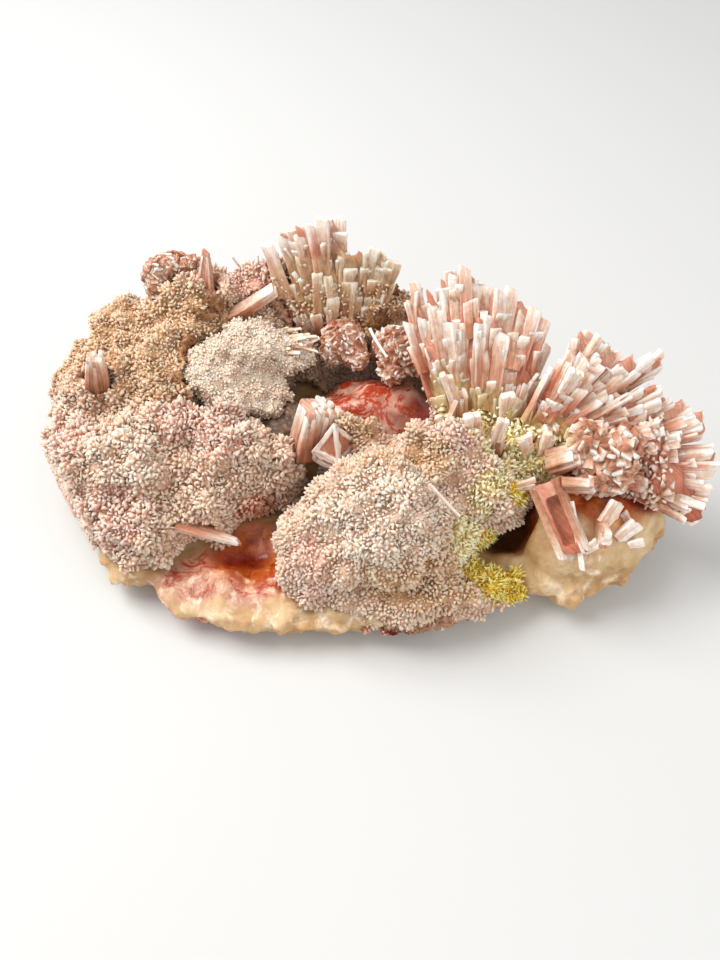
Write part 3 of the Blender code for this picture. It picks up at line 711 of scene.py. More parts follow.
def mordenite_material(settings):
    """Natural mordenite, grown as a matt crust of blunt prongs: pale tips over ochre and brown roots give
    it its sugary, coral-like look, and iron gives the pink and the yellow. The roots, creases and pits
    are painted darker and the knobs and clumps lighter: partly the crust's own ochre, partly painted
    shade."""
    made, tree, shader = new_material(
        "natural mordenite crust", Roughness=0.85, IOR=1.47, Subsurface_Weight=0.3,
        Subsurface_Scale=0.0014, Subsurface_Radius=(1.0, 0.55, 0.35), Specular_IOR_Level=0.25,
    )
    place = add(tree, "ShaderNodeTexCoord").outputs["Object"]
    stored = {
        key: add(tree, "ShaderNodeAttribute", attribute_name=key).outputs["Fac"]
        for key in ("tip", "tone", "knob", "pink", "tan", "moss", "gold", "rust", "pale", "cut")
    }
    grains = {
        size: add(tree, "ShaderNodeTexNoise", {
            "Vector": place, "Scale": 1.0 / (size * MM), "Detail": 4.0, "Roughness": 0.6,
        }).outputs["Fac"]
        for size in (9.0, 3.0, 1.6, 0.5)
    }
    # The shade along the ramps: low at the roots, in creases and in pits, high at the tips and on knobs
    # and clumps. This is partly the crust's own ochre and partly painted shade
    height = stored["tip"]
    for other, share in ((grains[1.6], 0.45), (stored["knob"], 0.2), (stored["tone"], 0.22)):
        height = add(
            tree, "ShaderNodeMath", {0: other, 1: share, 2: height}, operation="MULTIPLY_ADD"
        ).outputs[0]
    height = add(tree, "ShaderNodeMapRange", {0: height, 1: 0.34, 2: 1.26}).outputs[0]
    shades = dict.fromkeys((None, *grains), height)
    colour = layered(tree, settings.mordenite_roots, stored, grains, shades, (
        ("plain", None, 0, 0, (
            settings.mordenite_roots, "#c29678", "#d2ac92", "#dec0a8", settings.mordenite_tips,
        )),
        ("pink", 3.0, 0.25, 0.85, ("#a86c56", "#be8872", "#cfa08c", "#dcb8a4", "#e8d0c0")),
        ("tan", 3.0, 0.2, 0.95, ("#845a38", "#ac8058", "#c49a74", "#d2ae8c", "#e2c8ac")),
        ("moss", 3.0, 0.2, 0.95, ("#b29458", "#d6b87a", "#ead496", "#f4e4ae", "#fcf4d0")),
        ("gold", 3.0, 0.3, 0.8, ("#9c7018", "#d0a02c", "#ecc848", "#f8e070", "#fef4b0")),
        ("rust", 3.0, 0.35, 1.0, ("#642414", "#984630", "#b46a50", "#cc9074", "#e6b8a0")),
        ("pale", 3.0, 0.3, 1.3, ("#a4765a", "#c49c80", "#dabca4", "#e8d2be", "#f4e6d6")),
        ("cut", 9.0, 0.3, 0.8, ("#c88c7a", "#dcae9c", "#e8c8b8", "#f0dace", "#f4e4da")),
    ))
    tree.links.new(colour, shader.inputs["Base Color"])
    bump = add(tree, "ShaderNodeBump", {"Strength": 0.45, "Distance": 0.0003, "Height": grains[0.5]})
    tree.links.new(bump.outputs[0], shader.inputs["Normal"])
    return made


def stilbite_material(settings):
    """Natural stilbite, in lamellae grown side by side: lengthwise grooves and a pearly gloss,
    white at the ends and edges, with salmon and rust in the clefts and at the roots."""
    made, tree, shader = new_material(
        "natural stilbite blades", Roughness=0.46, IOR=1.5, Subsurface_Weight=0.35,
        Subsurface_Scale=0.0022, Subsurface_Radius=(1.0, 0.5, 0.36), Specular_IOR_Level=0.4,
        Sheen_Weight=0.06,
    )
    place = add(tree, "ShaderNodeTexCoord").outputs["Object"]
    strip = add(tree, "ShaderNodeUVMap", uv_map="UVMap").outputs[0]
    grooves = add(tree, "ShaderNodeMapping", {"Vector": strip, "Scale": (1.1, 0.10, 1.0)}).outputs[0]
    lines = add(
        tree, "ShaderNodeTexNoise", {"Vector": grooves, "Scale": 1.0, "Detail": 4.0, "Roughness": 0.7}
    ).outputs["Fac"]
    stored = {
        key: add(tree, "ShaderNodeAttribute", attribute_name=key).outputs["Fac"]
        for key in ("tip", "tone", "edge", "salmon", "moss", "rust", "tan")
    }
    grains = {
        size: add(tree, "ShaderNodeTexNoise", {
            "Vector": place, "Scale": 1.0 / (size * MM), "Detail": 4.0, "Roughness": 0.6,
        }).outputs["Fac"]
        for size in (5.0, 2.2, 0.9)
    }
    height = stored["tip"]
    for other, share in (
        (lines, 1.5), (stored["tone"], 0.34), (stored["edge"], 0.38), (grains[2.2], 1.2),
    ):
        height = add(
            tree, "ShaderNodeMath", {0: other, 1: share, 2: height}, operation="MULTIPLY_ADD"
        ).outputs[0]
    height = add(tree, "ShaderNodeMapRange", {0: height, 1: 1.36, 2: 2.8}).outputs[0]
    grains["lines"] = lines
    shades = dict.fromkeys((None, *grains), height)
    colour = layered(tree, settings.stilbite_ends, stored, grains, shades, (
        ("pale", None, 0, 0, ("#9a5e3e", "#ba7c5c", "#d2a084", "#e8c8b2", settings.stilbite_ends)),
        ("salmon", 2.2, 0.25, 0.8, (
            "#8a3018", settings.stilbite_flush, "#c8765a", "#dca08a", "#f6e2d6",
        )),
        ("tan", "lines", 0.3, 1.0, ("#7c5428", "#a87c50", "#c69e72", "#dabc96", "#f2e6d0")),
        ("moss", 0.9, 0.3, 0.9, ("#86662a", "#ac8c4c", "#c8ac74", "#dcc494", "#eee2bc")),
        ("rust", 2.2, 0.35, 0.9, ("#5c1408", "#8c2810", "#a8401e", "#c4683c", "#e0a07c")),
    ))
    tree.links.new(colour, shader.inputs["Base Color"])
    both = add(
        tree, "ShaderNodeMath", {0: grains[0.9], 1: 0.35, 2: lines}, operation="MULTIPLY_ADD"
    ).outputs[0]
    bump = add(tree, "ShaderNodeBump", {"Strength": 0.7, "Distance": 0.0006, "Height": both})
    tree.links.new(bump.outputs[0], shader.inputs["Normal"])
    return made


def chalcedony_material(settings):
    """Natural chalcedony, deposited in waxy layers: light goes into it, so it glows amber and
    cream, and iron oxide lies in it as red nets and clouds."""
    made, tree, shader = new_material(
        "natural iron-stained chalcedony", IOR=1.54, Subsurface_Weight=0.55,
        Subsurface_Scale=0.004, Subsurface_Radius=(1.0, 0.45, 0.2), Specular_IOR_Level=0.5,
    )
    place = add(tree, "ShaderNodeTexCoord").outputs["Object"]
    stored = {
        key: add(tree, "ShaderNodeAttribute", attribute_name=key).outputs["Fac"]
        for key in ("veined", "amber", "window", "red", "brown", "glossy", "frost")
    }
    grains = {
        size: add(tree, "ShaderNodeTexNoise", {
            "Vector": place, "Scale": 1.0 / (size * MM), "Detail": 5.0, "Roughness": 0.62,
            "Distortion": 0.4,
        }).outputs["Fac"]
        for size in (12.0, 4.0, 1.2)
    }
    swirl = add(tree, "ShaderNodeTexNoise", {
        "Vector": place, "Scale": 90.0, "Detail": 8.0, "Roughness": 0.66, "Distortion": 0.7,
    }).outputs["Fac"]
    centred = add(tree, "ShaderNodeMath", {0: swirl, 1: 0.5}, operation="SUBTRACT").outputs[0]
    away = add(tree, "ShaderNodeMath", {0: centred}, operation="ABSOLUTE").outputs[0]
    net = add(tree, "ShaderNodeMapRange", {0: away, 1: 0.008, 2: 0.06, 3: 1.0, 4: 0.0}).outputs[0]
    stored["veins"] = add(
        tree, "ShaderNodeMath", {0: net, 1: stored["veined"]}, operation="MULTIPLY"
    ).outputs[0]
    shades = {
        size: add(tree, "ShaderNodeMapRange", {0: grain, 1: 0.3, 2: 0.72}).outputs[0]
        for size, grain in grains.items()
    }
    shades[None] = shades[12.0]
    colour = layered(tree, settings.chalcedony_cream, stored, grains, shades, (
        ("base", None, 0, 0, ("#a07844", "#bc9464", "#ceae80", settings.chalcedony_cream)),
        ("veined", 4.0, 0.2, 0.8, ("#9c6450", "#bc826c", "#d0a08a", "#e2bea8")),
        ("amber", 4.0, 0.25, 0.75, ("#8e380e", "#b2501e", "#ca7036", settings.chalcedony_amber)),
        ("window", 1.2, 0.3, 0.8, ("#30231a", "#604836", "#8c7058", "#c4a68c")),
        ("veins", 4.0, 0.3, 0.75, ("#8c2408", "#a83414", "#b84420", settings.iron_red)),
        ("red", 4.0, 0.35, 0.8, ("#5e1406", "#86240e", "#a03c1c", "#c06a40")),
        ("brown", 12.0, 0.2, 0.6, ("#301606", "#4c280e", "#6a3a18", "#8a5426")),
        ("frost", 4.0, 0.98, 1.2, ("#ccaa84", "#dabc9a", "#e4ceb0", "#f0e2cc")),
    ))
    tree.links.new(colour, shader.inputs["Base Color"])
    rough = add(
        tree, "ShaderNodeMapRange", {0: stored["glossy"], 1: 0.0, 2: 1.0, 3: 0.5, 4: 0.16}
    ).outputs[0]
    rough = add(
        tree, "ShaderNodeMath", {0: grains[1.2], 1: 0.12, 2: rough}, operation="MULTIPLY_ADD"
    ).outputs[0]
    tree.links.new(rough, shader.inputs["Roughness"])
    bump = add(tree, "ShaderNodeBump", {"Strength": 0.4, "Distance": 0.0005, "Height": grains[1.2]})
    tree.links.new(bump.outputs[0], shader.inputs["Normal"])
    return made


def druse_material(settings):
    """A druse of tiny crystals, grown as a sugary skin: white grains that glint, cream and tan
    in the pits between."""
    made, tree, shader = new_material(
        "natural cream druse", Roughness=0.4, IOR=1.5, Subsurface_Weight=0.4,
        Subsurface_Scale=0.0016, Subsurface_Radius=(1.0, 0.7, 0.5), Specular_IOR_Level=0.45,
    )
    place = add(tree, "ShaderNodeTexCoord").outputs["Object"]
    height = add(tree, "ShaderNodeAttribute", attribute_name="tip").outputs["Fac"]
    for size, share in ((6.0, 1.2), (1.4, 0.5)):
        grain = add(tree, "ShaderNodeTexNoise", {
            "Vector": place, "Scale": 1.0 / (size * MM), "Detail": 4.0, "Roughness": 0.6,
        }).outputs["Fac"]
        height = add(
            tree, "ShaderNodeMath", {0: grain, 1: share, 2: height}, operation="MULTIPLY_ADD"
        ).outputs[0]
    height = add(tree, "ShaderNodeMapRange", {0: height, 1: 0.7, 2: 1.75}).outputs[0]
    colour = add(tree, "ShaderNodeValToRGB", {0: height}, stops=evenly(
        "#8a6244", "#b48e70", "#cfb096", "#e2cab2", settings.druse_grains,
    )).outputs[0]
    tree.links.new(colour, shader.inputs["Base Color"])
    bump = add(tree, "ShaderNodeBump", {"Strength": 0.3, "Distance": 0.0002, "Height": grain})
    tree.links.new(bump.outputs[0], shader.inputs["Normal"])
    return made


MATERIALS = {
    "mordenite": mordenite_material, "stilbite": stilbite_material,
    "chalcedony": chalcedony_material, "druse": druse_material,
}
PAINTS = {}


def paint(slot):
    """The material of a slot, made once."""
    if slot not in PAINTS:
        PAINTS[slot] = MATERIALS[slot](bpy.context.scene.specimen)
    return PAINTS[slot]


def colour_values(places):
    """How strongly each place of a crust shows each of its colours."""
    named = {"moss": MOSS, "gold": GOLD, "pink": PINK, "tan": TAN, "rust": RUST, "pale": PALE}
    return {key: region(places, lumps) for key, lumps in named.items()}


def crust_ground(node, name, lumps):
    """The ground of a crust: its solid's skin drawn in, in lumps of that height with creases
    between them."""
    ground = skin_copy(node, name, GROUND_VOXEL)
    apply_modifier(ground, "SMOOTH", factor=0.5, iterations=2)
    relief(ground, "VORONOI", GROUND_LUMPS, -lumps, 0.34)
    relief(ground, "VORONOI", GROUND_CREASES, -2.0, 0.42)
    relief(ground, "CLOUDS", GROUND_GRAIN, 0.9)
    sink(ground, GROUND_SINK)
    apply_modifier(ground, "SMOOTH", factor=0.5, iterations=1)
    press_to_cut(ground)
    places = coordinates(ground.data)
    # The ground between the prongs is coloured like a prong part way up, darker than the tips and in its
    # creases: partly the crust's ochre, partly painted shade
    set_values(ground.data, "tip", np.full(len(places), 0.42))
    set_values(ground.data, "tone", np.full(len(places), 0.5))
    set_values(ground.data, "knob", knob_values(ground))
    set_values(ground.data, "cut", np.clip((past_cut(places) + 1.6) / 0.8, 0.0, 1.0))
    for key, found in colour_values(places).items():
        set_values(ground.data, key, found)
    return ground


def past_cut(places):
    """How far places lie outside the straight broken edge at the left, in millimetres."""
    return places[:, :2] @ np.array(CUT_WAY) / MM - CUT_REACH


def press_to_cut(obj):
    """Brings what stands past the broken edge back to its flat face."""
    places = coordinates(obj.data)
    over = np.clip(past_cut(places), 0.0, None) * MM
    places[:, :2] -= over[:, None] * np.array(CUT_WAY)
    set_coordinates(obj.data, places)


def prong_spacing(places):
    """Prongs stand closer on the back hill and in the moss than on the lobes in front, and
    further apart on the far side and low down."""
    spacing = np.full(len(places), PRONG_SPACING)
    spacing += 0.4 * np.clip((places[:, 1] / MM - 46.0) / 4.0, 0.0, 1.0)
    spacing += 0.12 * np.clip((16.0 - places[:, 2] / MM) / 6.0, 0.0, 1.0)
    spacing -= 0.06 * region(places, TAN)
    spacing -= 0.04 * region(places, MOSS) + 0.22 * region(places, GOLD)
    return spacing


def prongs(name, spots, template, width, length, flare, lean, draw):
    """One mesh of prongs on the spots of a crust, long in clumps and short in the pits between."""
    count = len(spots.places)
    clumps = np.clip(0.55 + 0.8 * waves(spots.places, CLUMP_SIZE), 0, 1)
    pits = np.clip((-waves(spots.places + 0.1, PIT_SIZE) - 0.12) / 0.22, 0, 1)
    sizes = np.ones((count, 3))
    sizes[:, 0] *= width * (draw.uniform(0.65, 1.1, count) + 0.7 * draw.random(count) ** 4) / 2
    sizes[:, 1] *= width * draw.uniform(0.5, 1.0, count) / 2
    sizes[:, 2] *= length * (0.62 + 0.55 * clumps + draw.uniform(0.0, 0.3, count)) * (1 - 0.4 * pits)
    ways = tilted(spots.ups, lean, draw)
    feet = spots.places - ways * PRONG_ROOT * MM
    values = dict(spots.values)
    # Painted shade: the colour darkens in the pits and creases and lightens on the clumps
    values["knob"] = values["knob"] * 0.6 - 1.3 * pits + 0.5 * clumps
    values["tone"] = draw.random(count)
    return copies(
        name, template, axes_from(ways, draw), feet, sizes * MM,
        draw.uniform(flare[0], flare[1], count), values, draw, PRONG_UNEVEN,
    )


def left_fields(places):
    """The left crust's fields: name, what it covers, kind of prong, and how wide, how long, how
    flared and how leaning its prongs are."""
    back, left = places[:, 1] > HILL_EDGE * MM, places[:, 0] < LOBE_EDGE * MM
    return (
        ("hill", back & left, "blunt", 0.95, 0.95, (-0.6, -0.2), 0.36),
        ("ridge", back & ~left, "blunt", 0.9, 0.95, (-0.6, -0.2), 0.4),
        ("lobe", ~back & left, "blunt", 1.1, 1.1, (-0.6, -0.1), 0.36),
        ("mounds", ~back & ~left, "blunt", 1.1, 1.1, (-0.6, -0.1), 0.38),
    )


def right_fields(places):
    """The right crust's fields, like the left one's, with yellow moss and gold needles."""
    gold = region(places, GOLD) > 0.35
    moss = (region(places, MOSS) > 0.45) & ~gold
    rest = ~gold & ~moss
    low = places[:, 1] < BROW_EDGE * MM
    return (
        ("mound", rest & ~low, "blunt", 1.0, 0.95, (-0.55, -0.15), 0.28),
        ("brow", rest & low, "blunt", 1.05, 0.95, (-0.55, -0.15), 0.3),
        ("moss", moss, "blunt", 0.85, 1.25, (-0.65, -0.25), 0.55),
        ("gold", gold, "sharp", 0.55, 1.6, (-0.3, 0.2), 0.6),
    )


def build_crust(node, side, fields, lumps, settings):
    """A mordenite crust: its ground and its fields of prongs, which fields(places) gives."""
    draw = np.random.default_rng(CRUST_SEEDS[side])
    ground = crust_ground(node, "mordenite_ground_" + side, lumps)
    tree = solids_tree(left_out=(node,))
    values = {"knob": values_of(ground.data, "knob"), **colour_values(coordinates(ground.data))}
    spots = scatter(ground, prong_spacing, values, tree, CRUST_REACH, draw)
    grown = past_cut(spots.places) < -1.2
    templates = {"blunt": prong_template(), "sharp": spike_template()}
    for part, chosen, kind, width, length, flare, lean in fields(spots.places):
        chosen = chosen & grown
        values = {key: found[chosen] for key, found in spots.values.items()}
        own = Spots(spots.places[chosen], spots.ups[chosen], values)
        field = prongs(
            "mordenite_prongs_" + part, own, templates[kind], width * settings.prong_width / MM,
            length * settings.prong_length / MM, flare, lean, draw,
        )
        press_to_cut(field)
        finish_piece(field, "mordenite", node)
    finish_piece(ground, "mordenite", node)


def coat(name, node, sides, width, length, spacing, seed, settings):
    """Mordenite prongs that coat the part of another solid that lies inside all the sides."""
    draw = np.random.default_rng(seed)
    skin = skin_copy(node, "coat_skin", COAT_VOXEL)
    spots = scatter(skin, even(spacing), {}, solids_tree((node,)), SMALL_REACH, draw)
    bpy.data.objects.remove(skin, do_unlink=True)
    inside = [way * (spots.places[:, axis] / MM - end) / fade for axis, way, end, fade in sides]
    kept = np.min(inside, axis=0) + 0.25 * waves(spots.places, COAT_PATCH) > 0.5
    own = Spots(spots.places[kept], spots.ups[kept], colour_values(spots.places[kept]))
    own.values["knob"] = np.zeros(kept.sum())
    field = prongs(
        name, own, prong_template(), width * settings.prong_width / MM,
        length * settings.prong_length / MM, (-0.6, -0.2), COAT_LEAN, draw,
    )
    finish_piece(field, "mordenite", node)


def blade_place(foot, direction, turn):
    """Where a blade stands: its length along the direction, its width across the view."""
    axis = Vector(direction).normalized()
    across = axis.cross(Vector((0, -1, 0)))
    across = (across if across.length > 0.05 else Vector((1, 0, 0))).normalized()
    turned = Matrix((across, axis.cross(across), axis)).transposed().to_4x4()
    return Matrix.Translation(Vector(foot)) @ turned @ Matrix.Rotation(math.radians(turn), 4, "Z")


def plate_place(foot, axis, face):
    """Where a blade stands whose flat side looks the way that face does."""
    up = Vector(axis).normalized()
    flat = Vector(face) - up * up.dot(Vector(face))
    flat = (flat if flat.length > 0.05 else up.orthogonal()).normalized()
    turned = Matrix((flat.cross(up), flat, up)).transposed().to_4x4()
    return Matrix.Translation(Vector(foot)) @ turned


def laths_of(place, length, width, thickness, tip, foot, salmon, draw, lath_width=LATH_WIDTH):
    """The lamellae of one blade, side by side in its width, with ends that stop in steps."""
    across = max(1, round(width / lath_width))
    deep = max(1, round(thickness / LATH_DEPTH))
    rows = []
    for i in range(across):
        for j in range(deep):
            outer = max(abs((i + 0.5) / across - 0.5), abs((j + 0.5) / deep - 0.5)) * 2
            share = 1.0 - draw.random() ** 2 * 0.2 - 0.04 * outer
            rows.append((
                place, length * share, ((i + 0.5) / across - 0.5) * width,
                ((j + 0.5) / deep - 0.5) * thickness + draw.uniform(-0.14, 0.14) * thickness / deep,
                width / across * draw.uniform(1.05, 1.4), thickness / deep * draw.uniform(0.8, 1.2),
                foot, tip, salmon * draw.uniform(0.4, 1.4), draw.random(),
            ))
    return rows


def shingles(node, apex, spacing, draw):
    """The lamellae of short plates that lie over each other all round a sheaf, like shingles,
    each pointing away from the place that the sheaf spreads from."""
    skin = skin_copy(node, "shingle_skin", SHINGLE_VOXEL)
    apply_modifier(skin, "SMOOTH", factor=0.5, iterations=3)
    spots = scatter(skin, even(spacing), {}, solids_tree((node,)), PLATE_REACH, draw)
    bpy.data.objects.remove(skin, do_unlink=True)
    laths = []
    for place, up in zip(spots.places / MM, spots.ups):
        away = place - np.array(apex)
        reach = np.linalg.norm(away)
        away /= reach
        facing = float(away @ up)
        if facing < -0.25:
            continue
        axis = away + up * draw.uniform(0.0, 0.28) + draw.normal(size=3) * 0.07
        tip = place + away * draw.uniform(-0.8, 1.4) + up * draw.uniform(-0.3, 0.5)
        length = min(draw.uniform(8.0, 15.0), reach * 0.9)
        axis /= np.linalg.norm(axis)
        width = draw.uniform(2.2, 5.2)
        stand = plate_place(tip - axis * length, axis, up + draw.normal(size=3) * 0.25)
        salmon = np.clip(1.25 - reach / 42 + draw.normal() * 0.28, 0.05, 1.0)
        laths += laths_of(stand, length, width, draw.uniform(1.2, 2.3), 0.95, 0.8, salmon, draw)
    return laths


def lath_mesh(name, template, rows, draw):
    """One mesh of all the lamellae of a piece, with the lengthwise strip of each in its UV map."""
    count, each = len(rows), len(template.points)
    unit = template.points
    points = np.empty((count, each, 3))
    strips = np.empty((count, each, 2))
    for n, (place, length, off_x, off_y, wide, thick, foot, tip, _, tone) in enumerate(rows):
        share = foot + (tip - foot) * unit[:, 2]
        x = (off_x + unit[:, 0] * wide) * share
        y = (off_y + unit[:, 1] * thick) * (1.0 - 0.15 * unit[:, 2])
        slant = END_SLANT * length * (unit[:, 0] + 0.5) * unit[:, 2] ** 3 * draw.uniform(0.2, 1.3)
        z = unit[:, 2] * length - slant
        bow = draw.uniform(-0.25, 0.25, 2)
        x = x + bow[0] * np.sin(unit[:, 2] * math.pi)
        y = y + bow[1] * np.sin(unit[:, 2] * math.pi)
        local = np.stack([x, y, z], axis=1) + draw.uniform(-0.07, 0.07, (each, 3))
        turned = np.array(place)
        points[n] = local @ turned[:3, :3].T + turned[:3, 3]
        strips[n] = np.stack([x + y + 40 * tone, z + 40 * tone], axis=1)
    loops = (template.loops[None] + np.arange(count)[:, None] * each).ravel()
    made = mesh_object(name, points.reshape(-1, 3) * MM, loops, np.tile(template.counts, count))
    set_strip(made.data, strips.reshape(-1, 2))
    set_values(made.data, "tip", np.tile(unit[:, 2] ** 2, count))
    set_values(made.data, "tone", np.repeat([row[9] for row in rows], each))
    fade = 1.0 - 0.55 * np.clip((unit[:, 2] - 0.6) / 0.4, 0.0, 1.0)
    set_values(made.data, "salmon", np.outer([row[8] for row in rows], fade).ravel())
    set_values(made.data, "edge", np.tile(np.clip((np.abs(unit[:, 0]) - 0.3) / 0.2, 0, 1), count))
    return made


def stain_values(obj, share=0.8):
    """Moss, rust and tan on a stilbite piece, from where it stands."""
    places = coordinates(obj.data)
    for key, lumps in (("moss", MOSS), ("rust", RUST), ("tan", BLADES_TAN)):
        set_values(obj.data, key, region(places, lumps) * share)


def core_of(node, name, voxel, salmon):
    """The joined body of a stilbite piece: its solid's skin, drawn in a little."""
    core = skin_copy(node, name, voxel)
    relief(core, "CLOUDS", 1.8, 0.5)
    sink(core, SKIN_SINK)
    places = coordinates(core.data)
    low, high = places[:, 2].min(), places[:, 2].max()
    set_values(core.data, "tip", np.clip((places[:, 2] - low) / (high - low), 0, 1) * 0.75)
    set_values(core.data, "tone", np.full(len(places), 0.4))
    set_values(core.data, "salmon", np.full(len(places), salmon))
    places = places / MM
    set_strip(core.data, np.stack([places[:, 0] + places[:, 1], places[:, 2]], axis=1))
    return core


def outward(rows, apex, reach, thickness, seed):
    """The lamellae of a sheaf's long blades, from their tips down towards its foot."""
    turns = random.Random(seed)
    draw = np.random.default_rng(seed)
    laths = []
    for x, y, z, width in rows:
        tip = Vector((x, y, z))
        way = (tip - Vector(apex)) * reach
        place = blade_place(tip - way, way, turns.uniform(-35, 35))
        salmon = draw.uniform(0.15, 0.8)
        laths += laths_of(place, way.length, width * 1.12, thickness, 1.0, FOOT_SHARE, salmon, draw)
    return laths


def build_sheaf(node, apex, reach, thickness, seed, rows, template, spacing):
    """One sheaf of stilbite: its joined body, its long blades and the plates all over it."""
    core = core_of(node, node + "_core", SHEAF_VOXEL, 0.6)
    apply_modifier(core, "SMOOTH", factor=0.5, iterations=12)
    draw = np.random.default_rng(seed + 100)
    laths = outward(rows, apex, reach, thickness, seed) + shingles(node, apex, spacing, draw)
    blades = lath_mesh(node + "_laths", template, laths, draw)
    roughen(blades, 1.0, 2.2, 0.35)
    whole = join(node + "_blades", core, blades)
    sharpen(whole)
    stain_values(whole)
    finish_piece(whole, "stilbite", node)


def build_crystal(node, foot, direction, turn, length, width, thickness, tip, salmon, seed, template):
    """One single crystal, in lamellae over its solid's own skin."""
    draw = np.random.default_rng(seed)
    place = blade_place(foot, direction, turn)
    rows = laths_of(
        place, length, width, thickness, tip, CRYSTAL_FOOT_SHARE, salmon, draw, CRYSTAL_LATH_WIDTH
    )
    laths = lath_mesh(node + "_laths", template, rows, draw)
    core = core_of(node, node + "_core", CRYSTAL_VOXEL, salmon)
    whole = join(node + "_crystal", core, laths)
    sharpen(whole)
    stain_values(whole, 0.35)
    finish_piece(whole, "stilbite", node)


def build_mass(node, spacing, width, thickness, length, salmon, seed, template):
    """A small mass of stilbite, covered with flakes whose free edges stand out all round."""
    draw = np.random.default_rng(seed)
    core = core_of(node, node + "_core", SMALL_VOXEL, salmon)
    set_values(core.data, "tip", np.full(len(core.data.vertices), 0.7))
    sink(core, 0.7)
    spots = scatter(core, even(spacing), {}, solids_tree((node,)), FLAKE_REACH, draw)
    rows = []
    for place, up in zip(spots.places / MM, spots.ups):
        long = length * draw.uniform(0.75, 1.25)
        axis = up * 0.3 + draw.normal(size=3) * 0.5 + np.array((0, 0, -0.35))
        axis /= np.linalg.norm(axis)
        stand = plate_place(place - axis * long * 0.55, axis, up + draw.normal(size=3) * 0.4)
        size = (width * draw.uniform(0.6, 1.3), thickness * draw.uniform(0.7, 1.3))
        rows.append((stand, long, 0, 0, *size, 0.9, 0.9, salmon * draw.uniform(0.5, 1.2), draw.random()))
    whole = join(node + "_mass", core, lath_mesh(node + "_flakes", template, rows, draw))
    stain_values(whole)
    finish_piece(whole, "stilbite", node)


def slab_values(obj):
    """How strongly each place of the slab shows each of its colours."""
    places = coordinates(obj.data)
    for key, lumps, soft in (
        ("amber", SLAB_AMBER, 0.7), ("red", SLAB_RED, 0.7), ("brown", SLAB_BROWN, 0.6),
        ("window", SLAB_WINDOW, 0.5), ("glossy", SLAB_GLOSSY, 0.5), ("veined", SLAB_VEINED, 0.4),
    ):
        set_values(obj.data, key, region(places, lumps, soft))
    low = np.clip((places[:, 2] / MM - 3.0) / 6.0, 0.0, 1.0)
    front = np.clip((-places[:, 1] / MM - 34.0) / 8.0, 0.0, 1.0)
    set_values(obj.data, "frost", np.maximum(front * (0.4 + 0.6 * low), 0.15))


class SPECIMEN_OT_matrix(bpy.types.Operator):
    """Builds the chalcedony slab with its domes, hollows and broken rim"""

    bl_idname = "specimen.matrix"
    bl_label = "Chalcedony matrix"

    def execute(self, context):
        slab = skin_copy("chalcedony_matrix", "chalcedony_slab", SLAB_VOXEL)
        apply_modifier(slab, "SMOOTH", factor=0.5, iterations=4)
        places = coordinates(slab.data)
        sugary = region(places, SLAB_SUGARY, 0.5) * np.clip(places[:, 2] / MM / 3.0, 0, 1)
        roughen(slab, 0.5 + 0.5 * sugary, 6.0, 1.6)
        roughen(slab, 0.25 + 0.75 * sugary, 2.4, 1.3)
        roughen(slab, sugary, 1.1, 0.5)
        flatten_foot(slab)
        slab_values(slab)
        finish_piece(slab, "chalcedony", "chalcedony_matrix")
        return {"FINISHED"}


def flatten_foot(obj):
    """Brings every place at or under the resting face back to it."""
    places = coordinates(obj.data)
    near = places[:, 2] < 0.5 * MM
    places[near, 2] = 0.0
    set_coordinates(obj.data, places)


class SPECIMEN_OT_crusts(bpy.types.Operator):
    """Builds the two mordenite crusts, each a ground and fields of blunt prongs"""

    bl_idname = "specimen.crusts"
    bl_label = "Mordenite crusts"

    def execute(self, context):
        settings = context.scene.specimen
        build_crust("mordenite_crust_left", "left", left_fields, LEFT_LUMPS, settings)
        build_crust("mordenite_crust_right", "right", right_fields, RIGHT_LUMPS, settings)
        for name, *row in COATS:
            coat("mordenite_coat_" + name, *row, settings)
        return {"FINISHED"}


class SPECIMEN_OT_sheaves(bpy.types.Operator):
    """Builds the four sheaves of stilbite blades"""

    bl_idname = "specimen.sheaves"
    bl_label = "Stilbite sheaves"

    def execute(self, context):
        template = lath_template()
        for node, apex, reach, thickness, seed, rows in SHEAVES:
            spacing = context.scene.specimen.plate_spacing / MM
            build_sheaf(node, apex, reach, thickness, seed, rows, template, spacing)
        return {"FINISHED"}


class SPECIMEN_OT_crystals(bpy.types.Operator):
    """Builds the single stilbite crystals, the house-like one and the channelled one among them"""

    bl_idname = "specimen.crystals"
    bl_label = "Single crystals"

    def execute(self, context):
        template = lath_template()
        for seed, row in enumerate(CRYSTALS, CRYSTAL_SEED):
            build_crystal(*row, seed, template)
        build_point()
        build_frame_crystal(template)
        return {"FINISHED"}


